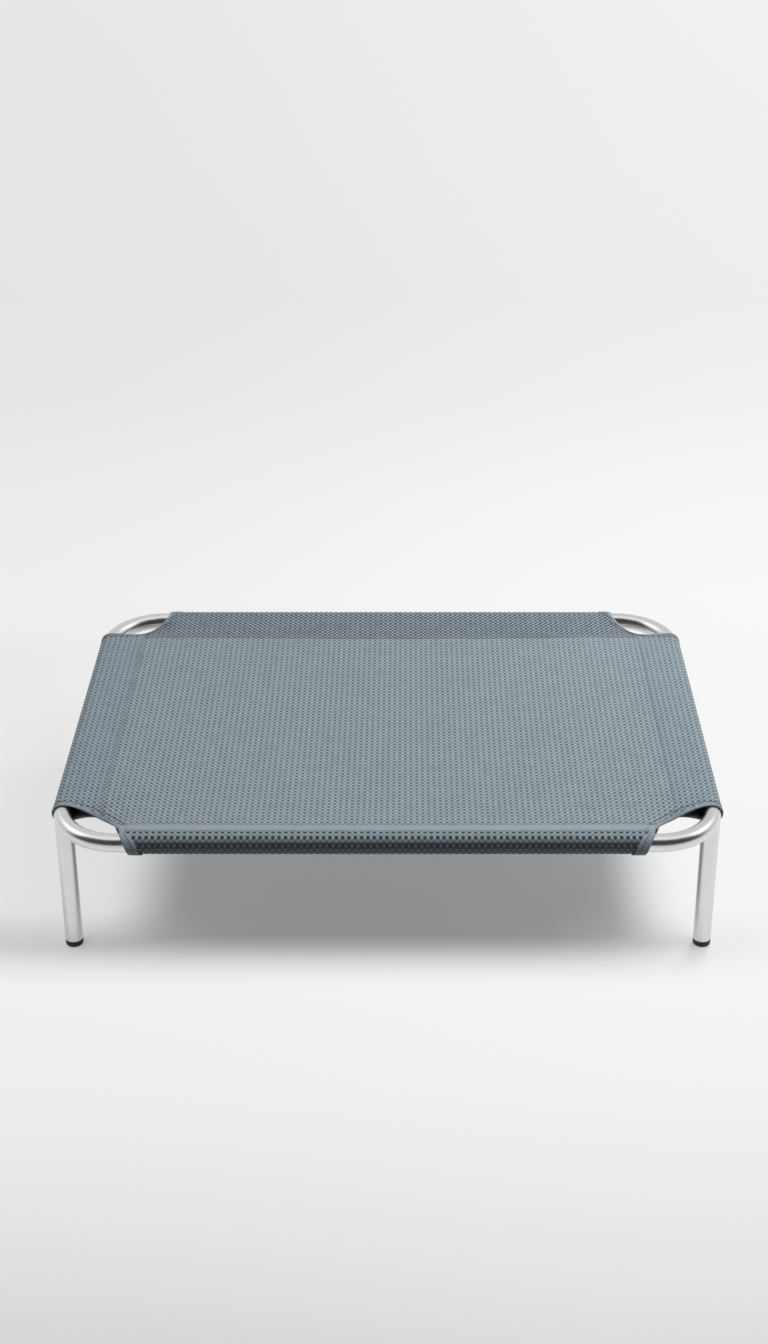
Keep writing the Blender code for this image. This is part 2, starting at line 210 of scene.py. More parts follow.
class Nodes(Tree):
    """A short way to write a material's nodes."""

    def __init__(self, name: str) -> None:
        """Start a material.

        Args:
            name: the material's name.
        """
        self.material = bpy.data.materials.new(name)
        self.material.use_nodes = True
        super().__init__(self.material.node_tree)
        self.shader = self.tree.nodes["Principled BSDF"]

    def mix(self, share: object, first: object, second: object) -> bpy.types.NodeSocket:
        """Return a colour mixed from two by a share.

        Args:
            share: how much of the second shows.
            first: the colour at a share of 0.
            second: the one at 1.

        Returns:
            The colour's socket.
        """
        node = self.add("Mix", data_type="RGBA")
        for place, value in ((0, share), (6, first), (7, second)):
            self.feed(node.inputs[place], value)
        return node.outputs[2]

    def noise(self, vector: object, scale: float, detail: float = 2.0) -> bpy.types.NodeSocket:
        """Return a noise value at a vector.

        Args:
            vector: where the noise is read.
            scale: how fine it is.
            detail: how many finer layers it has.

        Returns:
            The value's socket.
        """
        node = self.add("TexNoise")
        self.feed(node.inputs["Vector"], vector)
        node.inputs["Scale"].default_value = scale
        node.inputs["Detail"].default_value = detail
        return node.outputs["Fac"]

    def object_place(self, stretch: Place = (1.0, 1.0, 1.0)) -> bpy.types.NodeSocket:
        """Return the place on the object, stretched along its axes.

        Args:
            stretch: how many times finer it makes a pattern along each axis.

        Returns:
            The place's socket.
        """
        coordinates = self.add("TexCoord")
        mapping = self.add("Mapping")
        self.feed(mapping.inputs["Vector"], coordinates.outputs["Object"])
        mapping.inputs["Scale"].default_value = stretch
        return mapping.outputs[0]

    def flat_place(self) -> tuple[bpy.types.NodeSocket, bpy.types.NodeSocket, bpy.types.NodeSocket]:
        """Read the place on the cloth laid flat.

        Returns:
            The sockets of the place and its two parts.
        """
        chart = self.add("UVMap", uv_map=FLAT_MAP).outputs[0]
        first, second, _ = self.parts(chart)
        return chart, first, second

    def oval(
        self, across: object, along: object, cell: "Weave", size: Span, shift: float
    ) -> bpy.types.NodeSocket:
        """Return the distance to the nearest spot of a lattice, 1 on the edge of its oval.

        Args:
            across: the place across the ribs.
            along: the place along the ribs.
            cell: the weave that gives the lattice.
            size: the oval's width and height.
            shift: 0 for the lattice's own spots, 0.5 for the middles of its cells.

        Returns:
            The distance's socket.
        """
        powers = []
        for value, pitch, start, width in zip((across, along), cell.pitch, cell.origin, size):
            turns = self.maths("SUBTRACT", value, start + (shift + 0.5) * pitch)
            turns = self.maths("DIVIDE", turns, pitch)
            off = self.maths("SUBTRACT", self.maths("FRACT", turns), 0.5)
            off = self.maths("MULTIPLY", self.maths("ABSOLUTE", off), 2.0 * pitch / width)
            powers.append(self.maths("POWER", off, cell.roundness))
        return self.maths("POWER", self.maths("ADD", *powers), 1.0 / cell.roundness)

    def ripple(self, value: object, pitch: float) -> bpy.types.NodeSocket:
        """Return a sine wave of a pitch along a value."""
        return self.maths("SINE", self.maths("MULTIPLY", value, 2.0 * math.pi / pitch))

    def bump(self, height: object, depth: float, strength: float) -> None:
        """Give the shader a bump.

        Args:
            height: the socket that drives it.
            depth: its height in metres where the socket is 1.
            strength: how much of it shows.
        """
        node = self.add("Bump")
        node.inputs["Strength"].default_value = strength
        node.inputs["Distance"].default_value = depth
        self.feed(node.inputs["Height"], height)
        self.feed(self.shader.inputs["Normal"], node.outputs[0])

    def coat(self, colour: object, roughness: object, metallic: float = 0.0) -> None:
        """Give the shader its colour, its roughness and how metallic it is."""
        for name, value in (("Base Color", colour), ("Roughness", roughness), ("Metallic", metallic)):
            self.feed(self.shader.inputs[name], value)


@dataclass(frozen=True)
class SatinAluminium:
    """Satin anodised aluminium: soft highlights, faint drawn grain."""

    name: str = "satin_aluminium"
    colour: Colour = (0.775, 0.775, 0.775)
    shade: Colour = (0.75, 0.75, 0.755)
    roughness: Span = (0.25, 0.31)
    cloud_scale: float = 38.0
    cloud_span: Span = (0.35, 0.65)
    grain_scale: float = 1400.0
    grain_depth: float = 0.000006
    grain_strength: float = 0.2

    def build(self) -> bpy.types.Material:
        """Build the material.

        Returns:
            The material.
        """
        nodes = Nodes(self.name)
        place = nodes.object_place()
        cloud = nodes.noise(place, self.cloud_scale, 3.0)
        grain = nodes.noise(place, self.grain_scale)
        colour = nodes.mix(nodes.ramp(cloud, self.cloud_span), self.colour, self.shade)
        nodes.coat(colour, nodes.ramp(grain, NOISE_SPAN, self.roughness), 1.0)
        nodes.bump(grain, self.grain_depth, self.grain_strength)
        return nodes.material


@dataclass(frozen=True)
class MouldedPlastic:
    """Matt moulded plastic with a fine texture and scuffed high spots."""

    name: str
    colour: Colour
    worn: Colour
    roughness: Span = (0.42, 0.62)
    scuff_scale: float = 260.0
    scuff_span: Span = (0.52, 0.75)
    pore_scale: float = 2600.0
    pore_depth: float = 0.00006
    pore_strength: float = 0.5

    def build(self) -> bpy.types.Material:
        """Build the material.

        Returns:
            The material.
        """
        nodes = Nodes(self.name)
        place = nodes.object_place()
        scuff = nodes.noise(place, self.scuff_scale, 4.0)
        pores = nodes.noise(place, self.pore_scale, 1.0)
        colour = nodes.mix(nodes.ramp(scuff, self.scuff_span), self.colour, self.worn)
        nodes.coat(colour, nodes.ramp(scuff, NOISE_SPAN, self.roughness))
        nodes.bump(pores, self.pore_depth, self.pore_strength)
        return nodes.material


@dataclass(frozen=True)
class WorkedMetal:
    """Plain metal of the hidden joiners and screws, with drawn lines and dull patches."""

    name: str
    colour: Colour
    dull: Colour
    roughness: Span = (0.32, 0.5)
    patch_scale: float = 120.0
    patch_span: Span = (0.4, 0.7)
    line_stretch: Place = (40.0, 40.0, 600.0)
    line_scale: float = 6.0
    line_depth: float = 0.00003
    line_strength: float = 0.4

    def build(self) -> bpy.types.Material:
        """Build the material.

        Returns:
            The material.
        """
        nodes = Nodes(self.name)
        patches = nodes.noise(nodes.object_place(), self.patch_scale, 4.0)
        lines = nodes.noise(nodes.object_place(self.line_stretch), self.line_scale)
        colour = nodes.mix(nodes.ramp(patches, self.patch_span), self.colour, self.dull)
        nodes.coat(colour, nodes.ramp(lines, NOISE_SPAN, self.roughness), 1.0)
        nodes.bump(lines, self.line_depth, self.line_strength)
        return nodes.material


@dataclass(frozen=True)
class Weave:
    """The lattice of the woven mesh: open eyes, with floats of yarn between them.

    A roundness of 2 makes the eyes oval, and one near 1 makes them diamonds.
    """

    pitch: Span = (0.0081, 0.0089)
    origin: Span = (0.0, 0.0)
    eye: Span = (0.0036, 0.0046)
    dimple: Span = (0.0024, 0.0028)
    float_length: float = 0.0049
    float_width: float = 0.0040
    float_height: float = 0.00045
    roundness: float = 2.0
    # How far the dimples darken toward the eyes' colour with painted shade, and how deep their bump sinks.
    dimple_depth: float = 0.40


@dataclass(frozen=True)
class PaintedShade:
    """Painted shade: how much darker a cloth is painted on the parts that hang below a level, where shade
    falls.
    """

    low: float = 0.0
    high: float = 0.0
    share: float = 0.0

    def on(self, nodes: Nodes, colour: object, dark: Colour) -> object:
        """Return the colour, darkened with painted shade below the level.

        Args:
            nodes: the nodes to add to.
            colour: the cloth's colour.
            dark: the colour of the painted shade.

        Returns:
            The colour's socket, or the colour as it was where nothing is shaded.
        """
        if self.share <= 0.0:
            return colour
        # Painted shade: the colour darkens on everything that hangs below the given height.
        height = nodes.parts(nodes.object_place())[2]
        return nodes.mix(nodes.ramp(height, (self.low, self.high), (self.share, 0.0)), colour, dark)


@dataclass(frozen=True)
class WovenMesh:
    """The ground of the coated mesh: flat yarn, eyes painted dark with the shade seen through them, and
    shallow dimples between the floats, darkened with painted shade and bumped.
    """

    name: str
    yarn: Colour
    eye: Colour
    weave: Weave
    shading: PaintedShade
    roughness: Span = (0.52, 0.70)
    eye_rim: Span = (0.75, 1.35)
    dimple_rim: Span = (0.7, 1.4)
    yarn_scale: float = 1500.0
    yarn_span: Span = (0.35, 0.75)
    yarn_share: float = 0.22
    yarn_relief: float = 0.25
    cloud_scale: float = 45.0
    cloud_span: Span = (0.4, 0.7)
    cloud_share: float = 0.12
    relief_depth: float = 0.0005
    relief_strength: float = 0.8

    def build(self) -> bpy.types.Material:
        """Build the material.

        Returns:
            The material.
        """
        nodes = Nodes(self.name)
        chart, across, along = nodes.flat_place()
        eye = nodes.oval(across, along, self.weave, self.weave.eye, 0.0)
        eye = nodes.ramp(eye, self.eye_rim, (1.0, 0.0))
        dimple = nodes.oval(across, along, self.weave, self.weave.dimple, 0.5)
        dimple = nodes.ramp(dimple, self.dimple_rim, (self.weave.dimple_depth, 0.0))
        yarn = nodes.noise(chart, self.yarn_scale)
        cloud = nodes.noise(chart, self.cloud_scale, 3.0)
        # Painted shade: the eyes take the dark of what shows through them, the dimples the shade of their
        # hollows; the same hollows also drive the bump.
        hollow = nodes.maths("MAXIMUM", eye, dimple)
        patchy = nodes.ramp(yarn, self.yarn_span, (0.0, self.yarn_share))
        cloudy = nodes.ramp(cloud, self.cloud_span, (0.0, self.cloud_share))
        share = nodes.maths("MINIMUM", nodes.maths("ADD", hollow, patchy, cloudy), 1.0)
        colour = self.shading.on(nodes, nodes.mix(share, self.yarn, self.eye), self.eye)
        nodes.coat(colour, nodes.ramp(yarn, NOISE_SPAN, self.roughness))
        relief = nodes.maths("SUBTRACT", nodes.maths("MULTIPLY", yarn, self.yarn_relief), hollow)
        nodes.bump(relief, self.relief_depth, self.relief_strength)
        return nodes.material


@dataclass(frozen=True)
class CoatedYarn:
    """The raised floats of the mesh: coated yarn with fine filaments and a low sheen."""

    name: str
    light: Colour
    dark: Colour
    shading: PaintedShade = field(default_factory=PaintedShade)
    # The painted shade's colour on the floats is their dark colour times this share.
    depth: float = 0.30
    roughness: Span = (0.44, 0.62)
    filament: float = 0.00042
    filament_share: float = 0.08
    speck_scale: float = 420.0
    speck_span: Span = (0.3, 0.75)
    speck_share: float = 0.5
    patch_scale: float = 60.0
    patch_span: Span = (0.35, 0.7)
    patch_share: float = 0.35
    cloud_scale: float = 9.0
    cloud_span: Span = (0.4, 0.7)
    cloud_share: float = 0.15
    strand_depth: float = 0.00006
    strand_strength: float = 0.5

    def build(self) -> bpy.types.Material:
        """Build the material.

        Returns:
            The material.
        """
        nodes = Nodes(self.name)
        chart, _, along = nodes.flat_place()
        strands = nodes.ramp(nodes.ripple(along, self.filament), (-1.0, 1.0))
        speck = nodes.noise(chart, self.speck_scale)
        patch = nodes.noise(chart, self.patch_scale, 3.0)
        cloud = nodes.noise(nodes.object_place(), self.cloud_scale, 3.0)
        darker = nodes.maths(
            "ADD",
            nodes.ramp(speck, self.speck_span, (0.0, self.speck_share)),
            nodes.ramp(patch, self.patch_span, (0.0, self.patch_share)),
            nodes.ramp(cloud, self.cloud_span, (0.0, self.cloud_share)),
            nodes.maths("MULTIPLY", strands, self.filament_share),
        )
        colour = nodes.mix(nodes.maths("MINIMUM", darker, 1.0), self.light, self.dark)
        # Painted shade: below the shading's level the floats darken to this colour.
        deep_shade = tuple(self.depth * part for part in self.dark)
        nodes.coat(self.shading.on(nodes, colour, deep_shade), nodes.ramp(speck, NOISE_SPAN, self.roughness))
        nodes.bump(nodes.maths("ADD", strands, speck), self.strand_depth, self.strand_strength)
        return nodes.material


@dataclass(frozen=True)
class FineTape:
    """Fine woven tape, its cross ribs following the edge that it binds, with painted shade on its
    turned-down part.
    """

    name: str
    light: Colour
    dark: Colour
    shading: PaintedShade
    # The colour of the painted shade on the tape's turned-down part.
    deep_shade: Colour = (0.05, 0.06, 0.066)
    rib: float = 0.0032
    rib_span: Span = (-0.7, 0.7)
    rib_share: float = 0.75
    rib_depth: float = 0.00025
    rib_strength: float = 0.8
    cloud_scale: float = 180.0
    cloud_share: float = 0.25
    roughness: Span = (0.60, 0.80)

    def build(self) -> bpy.types.Material:
        """Build the material.

        Returns:
            The material.
        """
        nodes = Nodes(self.name)
        chart, along, across = nodes.flat_place()
        ribs = nodes.maths("MULTIPLY", nodes.ripple(along, self.rib), nodes.ripple(across, self.rib))
        weave = nodes.ramp(ribs, self.rib_span)
        cloud = nodes.noise(chart, self.cloud_scale, 3.0)
        share = nodes.maths(
            "ADD",
            nodes.maths("MULTIPLY", weave, self.rib_share),
            nodes.ramp(cloud, NOISE_SPAN, (0.0, self.cloud_share)),
        )
        colour = self.shading.on(nodes, nodes.mix(share, self.light, self.dark), self.deep_shade)
        nodes.coat(colour, nodes.ramp(cloud, NOISE_SPAN, self.roughness))
        nodes.bump(weave, self.rib_depth, self.rib_strength)
        return nodes.material


@dataclass(frozen=True)
class PaleFloor:
    """A matt pale studio floor, which runs into a glowing sweep away from the bed.

    The tones are the sweep's brightness at places along Y: painted light that falls off toward the near and
    the far floor, and a painted shade darkens the sweep toward the left. The sweep begins beside the bed, in
    front of it, behind it, and all round it further out; beside the bed its glow paints over the edges of
    the bed's real shadow, and a share of it lightens that shadow everywhere.
    """

    name: str = "pale_floor"
    colour: Colour = (0.865, 0.865, 0.865)
    shade: Colour = (0.85, 0.85, 0.85)
    cloud_scale: float = 0.7
    roughness: float = 0.8
    sheen: float = 0.1
    tones: tuple[Span, ...] = (
        (-1.10, 0.66),
        (-0.96, 0.742),
        (-0.80, 0.808),
        (-0.60, 0.856),
        (-0.38, 0.876),
        (0.85, 0.920),
        (1.30, 0.897),
        (1.95, 0.853),
        (2.70, 0.830),
        (4.20, 0.842),
        (7.50, 0.855),
    )
    camera_y: float = -2.656
    least_depth: float = 0.5
    right_tone: float = 1.03
    # Painted shade: how much darker the sweep is toward the left, nearest the camera, near the bed and far
    # off.
    left_fall: tuple[float, float, float] = (0.07, 0.035, 0.10)
    near_span: Span = (-1.0, -0.65)
    far_span: Span = (-0.45, 0.5)
    bearing_span: Span = (-0.26, 0.24)
    round_start: Span = (0.70, 1.15)
    left_start: Span = (-0.42, -0.292)
    right_start: Span = (0.31, 0.47)
    front_start: Span = (-0.385, -0.25)
    back_start: Span = (0.40, 0.74)
    feet_line: Span = (-0.29, -0.18)
    left_share: float = 0.68
    foot_share: float = 0.30
    # Share of the glow painted over the whole floor, which lightens the bed's shadow.
    shadow_glow: float = 0.235

    def tone(self, nodes: Nodes, x: object, y: object) -> bpy.types.NodeSocket:
        """Return the sweep's painted brightness at a place of the floor, with its painted shade toward the
        left.

        Args:
            nodes: the nodes to add to.
            x: the part along X.
            y: the part along Y.

        Returns:
            The brightness's socket.
        """
        first, last = self.tones[0][0], self.tones[-1][0]
        levels = nodes.add("ValToRGB")
        elements = levels.color_ramp.elements
        while len(elements) < len(self.tones):
            elements.new(1.0)
        for element, (place, level) in zip(elements, self.tones):
            element.position = (place - first) / (last - first)
            element.color = (level, level, level, 1.0)
        share = nodes.maths("DIVIDE", nodes.maths("SUBTRACT", y, first), last - first)
        nodes.feed(levels.inputs[0], share)
        depth = nodes.maths("MAXIMUM", nodes.maths("SUBTRACT", y, self.camera_y), self.least_depth)
        bearing = nodes.maths("DIVIDE", x, depth)
        nearest, near, far = self.left_fall
        by_depth = nodes.maths(
            "MAXIMUM",
            nodes.ramp(y, self.far_span, (near, far)),
            nodes.ramp(y, self.near_span, (nearest, near)),
        )
        fall = nodes.maths("MULTIPLY", by_depth, nodes.ramp(bearing, self.bearing_span, (1.0, 0.0)))
        return nodes.maths("MULTIPLY", levels.outputs[0], nodes.maths("SUBTRACT", self.right_tone, fall))

    def share(self, nodes: Nodes, place: object, x: object, y: object) -> bpy.types.NodeSocket:
        """Return how much of the sweep's painted glow shows at a place of the floor.

        Args:
            nodes: the nodes to add to.
            place: the place.
            x: the part along X.
            y: the part along Y.

        Returns:
            The share's socket.
        """
        reach = nodes.add("VectorMath", operation="LENGTH")
        nodes.feed(reach.inputs[0], place)
        around = nodes.ramp(reach.outputs["Value"], self.round_start)
        front = nodes.ramp(y, self.front_start, (1.0, 0.0))
        back = nodes.ramp(y, self.back_start)
        # The glow beside the bed paints over the edges of the bed's real shadow and narrows it; near the
        # feet it gives way to their real shadows.
        left = nodes.ramp(x, self.left_start, (self.left_share, 0.0))
        sides = nodes.maths("ADD", left, nodes.ramp(x, self.right_start))
        by_feet = nodes.ramp(y, self.feet_line, (self.foot_share, 1.0))
        sides = nodes.maths("MULTIPLY", sides, by_feet)
        most = nodes.maths("MAXIMUM", around, front, back, sides)
        shaded = nodes.maths("MULTIPLY", nodes.maths("SUBTRACT", 1.0, most), 1.0 - self.shadow_glow)
        return nodes.maths("SUBTRACT", 1.0, shaded)

    def build(self) -> bpy.types.Material:
        """Build the material.

        Returns:
            The material.
        """
        nodes = Nodes(self.name)
        place = nodes.object_place()
        cloud = nodes.noise(place, self.cloud_scale)
        nodes.coat(nodes.mix(cloud, self.colour, self.shade), self.roughness)
        nodes.feed(nodes.shader.inputs["Specular IOR Level"], self.sheen)
        x, y, _ = nodes.parts(place)
        rays = nodes.add("LightPath").outputs
        kinds = ("Is Camera Ray", "Is Glossy Ray", "Is Transmission Ray")
        seen = nodes.maths("MAXIMUM", *(rays[kind] for kind in kinds))
        glow = nodes.add("Emission")
        nodes.feed(glow.inputs["Color"], WHITE)
        nodes.feed(glow.inputs["Strength"], self.tone(nodes, x, y))
        swept = nodes.maths("MULTIPLY", self.share(nodes, place, x, y), seen)
        shown = nodes.blend(swept, nodes.shader.outputs[0], glow.outputs[0])
        nodes.feed(nodes.tree.nodes["Material Output"].inputs[0], shown)
        return nodes.material


@dataclass(frozen=True)
class Cloths:
    """The finishes of one part of the sling: its ground, its floats and its weave."""

    ground: bpy.types.Material
    yarn: bpy.types.Material
    weave: Weave

    @classmethod
    def dyed_with_painted_light(
        cls,
        name: str,
        tones: tuple[Colour, Colour, Colour],
        weave: Weave,
        shading: PaintedShade,
        depth: float = 0.30,
    ) -> "Cloths":
        """Return the finishes of one part of the sling, in its tones and with painted shade.

        Args:
            name: the start of the materials' names.
            tones: the colours of the floats, of the yarn between them and of the eyes.
            weave: the lattice.
            shading: the painted shade where the cloth hangs below the rail's top.
            depth: how much of their darker colour the floats keep under the painted shade.

        Returns:
            The finishes.
        """
        light, dark, eye = tones
        return cls(
            WovenMesh(name + "_mesh", dark, eye, weave, shading).build(),
            CoatedYarn(name + "_yarn", light, dark, shading, depth=depth).build(),
            weave,
        )


@dataclass(frozen=True)
class Palette:
    """Every finish of the bed, built once."""

    aluminium: bpy.types.Material
    mill_aluminium: bpy.types.Material
    steel: bpy.types.Material
    glide: bpy.types.Material
    tape: bpy.types.Material
    weld: bpy.types.Material
    thread: bpy.types.Material
    hem_thread: bpy.types.Material
    cloths: dict[str, Cloths]

    @classmethod
    def mixed(cls, sizes: "BedSizes") -> "Palette":
        """Return the palette in the photographed colours.

        Args:
            sizes: the frame's sizes, which say where the cloth turns down over the rails.

        Returns:
            The palette.
        """
        level = sizes.rail_height
        # Painted shade: below these heights the cloth is painted darker, on the front's turned-down face, on
        # the tape's lower part, and on the pockets' undersides with their threads.
        turned_shade = PaintedShade(level + 0.0050, level + 0.0142, 0.93)
        hem_shade = PaintedShade(level - 0.004, level + 0.0135, 0.66)
        under = PaintedShade(level - 0.012, level + 0.004, 0.55)
        plain = Weave()
        # The back band's eyes and dimples are bigger and darker: more painted shade seen through and between
        # its two layers.
        deep_shade = Weave(eye=(0.0042, 0.0054), dimple=(0.0034, 0.0042), dimple_depth=0.85)
        opened = Weave(
            pitch=(0.0085, 0.0109),
            origin=(0.0, -sizes.half_y + 0.0046),
            eye=(0.0056, 0.0070),
            dimple=(0.0026, 0.0032),
            roundness=1.3,
        )
        # One mesh fabric in four copies: the tones differ partly for real, as the pockets are two layers and
        # the front is stretched over its rail, and partly by painted light, each part's tones matched to the
        # light and shade that fall on it; the eye colours are painted shade seen through the holes.
        panel = ((0.520, 0.572, 0.596), (0.243, 0.297, 0.328), (0.064, 0.092, 0.112))
        side = ((0.450, 0.508, 0.538), (0.226, 0.282, 0.318), (0.060, 0.090, 0.112))
        back = ((0.560, 0.622, 0.662), (0.215, 0.268, 0.310), (0.025, 0.038, 0.048))
        front = ((0.405, 0.472, 0.508), (0.218, 0.273, 0.308), (0.020, 0.028, 0.034))
        return cls(
            aluminium=SatinAluminium().build(),
            mill_aluminium=WorkedMetal("mill_aluminium", (0.62, 0.63, 0.65), (0.48, 0.49, 0.50)).build(),
            steel=WorkedMetal("zinc_steel", (0.55, 0.55, 0.57), (0.40, 0.41, 0.42)).build(),
            glide=MouldedPlastic("black_glide", (0.011, 0.011, 0.012), (0.032, 0.032, 0.033)).build(),
            tape=FineTape("edge_tape", (0.385, 0.435, 0.465), (0.120, 0.150, 0.172), hem_shade).build(),
            weld=CoatedYarn("welded_strip", (0.272, 0.319, 0.350), (0.222, 0.270, 0.303)).build(),
            thread=CoatedYarn("seam_thread", (0.30, 0.36, 0.40), (0.175, 0.225, 0.25), under).build(),
            hem_thread=CoatedYarn("hem_thread", (0.060, 0.078, 0.090), (0.030, 0.040, 0.047), under).build(),
            cloths={
                "panel": Cloths.dyed_with_painted_light("panel", panel, plain, PaintedShade()),
                "side": Cloths.dyed_with_painted_light("side_band", side, plain, under),
                "back": Cloths.dyed_with_painted_light("back_band", back, deep_shade, under),
                "front": Cloths.dyed_with_painted_light("front_band", front, opened, turned_shade, depth=0.60),
            },
        )


def finish_piece(obj: bpy.types.Object, material: bpy.types.Material) -> bpy.types.Object:
    """Dress a piece, shade it smooth and let it ride on the bed.

    Args:
        obj: the piece.
        material: its finish.

    Returns:
        The piece.
    """
    obj.data.materials.clear()
    obj.data.materials.append(material)
    obj.data.shade_smooth()
    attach(obj, ROOT)
    return obj


def object_of(name: str, data: bpy.types.ID) -> bpy.types.Object:
    """Return a new object of the scene that holds a mesh, a lamp or a camera.

    Args:
        name: the object's name.
        data: what it holds.

    Returns:
        The object.
    """
    obj = bpy.data.objects.new(name, data)
    bpy.context.scene.collection.objects.link(obj)
    return obj


def object_from(work: bmesh.types.BMesh, name: str) -> bpy.types.Object:
    """Return a new object of the scene that holds a finished bmesh, which is freed.

    Args:
        work: the finished bmesh.
        name: the object's name.

    Returns:
        The object.
    """
    mesh = bpy.data.meshes.new(name)
    work.to_mesh(mesh)
    work.free()
    return object_of(name, mesh)


def vertex_places(mesh: bpy.types.Mesh) -> Array:
    """Return the places of a mesh's vertices, one row each.

    Args:
        mesh: the mesh.

    Returns:
        The places.
    """
    places = np.empty(len(mesh.vertices) * 3)
    mesh.vertices.foreach_get("co", places)
    return places.reshape(-1, 3)


def set_vertex_places(mesh: bpy.types.Mesh, places: Array) -> None:
    """Move a mesh's vertices to the given places."""
    mesh.vertices.foreach_set("co", np.ascontiguousarray(places, dtype=np.float32).ravel())
    mesh.update()


def chart_mesh(mesh: bpy.types.Mesh, chart: Array) -> None:
    """Give a mesh the map of the cloth laid flat.

    Args:
        mesh: the mesh.
        chart: a flat place for each vertex.
    """
    layer = mesh.uv_layers.new(name=FLAT_MAP)
    corners = np.empty(len(mesh.loops), dtype=np.int32)
    mesh.loops.foreach_get("vertex_index", corners)
    layer.data.foreach_set("uv", np.ascontiguousarray(chart[corners], dtype=np.float32).ravel())


def ring(around: Array) -> Array:
    """Return the ways out from a circle's middle, at shares of its full turn."""
    turn = 2.0 * math.pi * around
    return np.stack([np.cos(turn), np.sin(turn)], 1)


def smooth(value: Array, start: float, length: float) -> Array:
    """Return shares that rise smoothly from 0 at a start to 1 at a length past it."""
    share = np.clip((value - start) / length, 0.0, 1.0)
    return share * share * (3.0 - 2.0 * share)


def distances(line: Array) -> Array:
    """Return how far along a line each of its points lies."""
    gaps = np.linalg.norm(np.diff(line, axis=0), axis=1)
    return np.concatenate([[0.0], np.cumsum(gaps)])


def along_line(at: Array, spacing: Array, line: Array) -> Array:
    """Return the places at distances along a line whose points lie at the spacing's distances."""
    return np.stack([np.interp(at, spacing, part) for part in line.T], 1)


def mapped_grid(
    name: str,
    columns: int,
    rows: int,
    place: Placer,
    chart: Placer | None = None,
    closed: bool = False,
) -> bpy.types.Object:
    """Make a grid and lay it on a surface.

    Args:
        name: the object's name.
        columns: cells along the first direction.
        rows: cells along the second direction.
        place: gives the places for two arrays of shares from 0 to 1.
        chart: gives the cloth's flat places for the same shares.
        closed: True where the first direction goes round and meets itself.

    Returns:
        The new object, with its place in its mesh.
    """
    work = bmesh.new()
    bmesh.ops.create_grid(work, x_segments=columns, y_segments=rows, size=0.5)
    obj = object_from(work, name)
    shares = vertex_places(obj.data)[:, :2] + 0.5
    first, second = shares[:, 0], shares[:, 1]
    set_vertex_places(obj.data, place(first, second))
    if chart is not None:
        chart_mesh(obj.data, chart(first, second))
    if closed:
        work = bmesh.new()
        work.from_mesh(obj.data)
        bmesh.ops.remove_doubles(work, verts=work.verts, dist=0.000001)
        bmesh.ops.recalc_face_normals(work, faces=work.faces)
        work.to_mesh(obj.data)
        work.free()
    return obj


def thicken(obj: bpy.types.Object, thickness: float, offset: float) -> None:
    """Give an open skin its thickness.

    Args:
        obj: the skin.
        thickness: in metres.
        offset: -1 puts it inside the skin, 0 on both sides.
    """
    shell = obj.modifiers.new("thickness", "SOLIDIFY")
    shell.thickness = thickness
    shell.offset = offset
    shell.use_even_offset = True


@dataclass(frozen=True)
class BedSizes:
    """The frame's sizes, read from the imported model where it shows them."""

    half_x: float
    half_y: float
    rail_height: float
    tube_radius: float
    tube_wall: float = 0.0012
    bend_radius: float = 0.083
    corner_tail: float = 0.060
    leg_angle: float = math.radians(16.0)
    foot_height: float = 0.009
    gap: float = 0.0003

    @classmethod
    def measured(cls) -> "BedSizes":
        """Read the sizes from the boxes of the rails.

        Returns:
            The sizes.
        """
        front_low, front_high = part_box("front_rail")
        side_low, side_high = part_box("right_rail")
        return cls(
            half_x=(side_low[0] + side_high[0]) / 2.0,
            half_y=-(front_low[1] + front_high[1]) / 2.0,
            rail_height=(front_low[2] + front_high[2]) / 2.0,
            tube_radius=(front_high[2] - front_low[2]) / 2.0,
        )

    def rail_off(self, side: Side) -> float:
        """Return how far a side's rail lies from the bed's middle."""
        return self.half_y if side.is_end else self.half_x


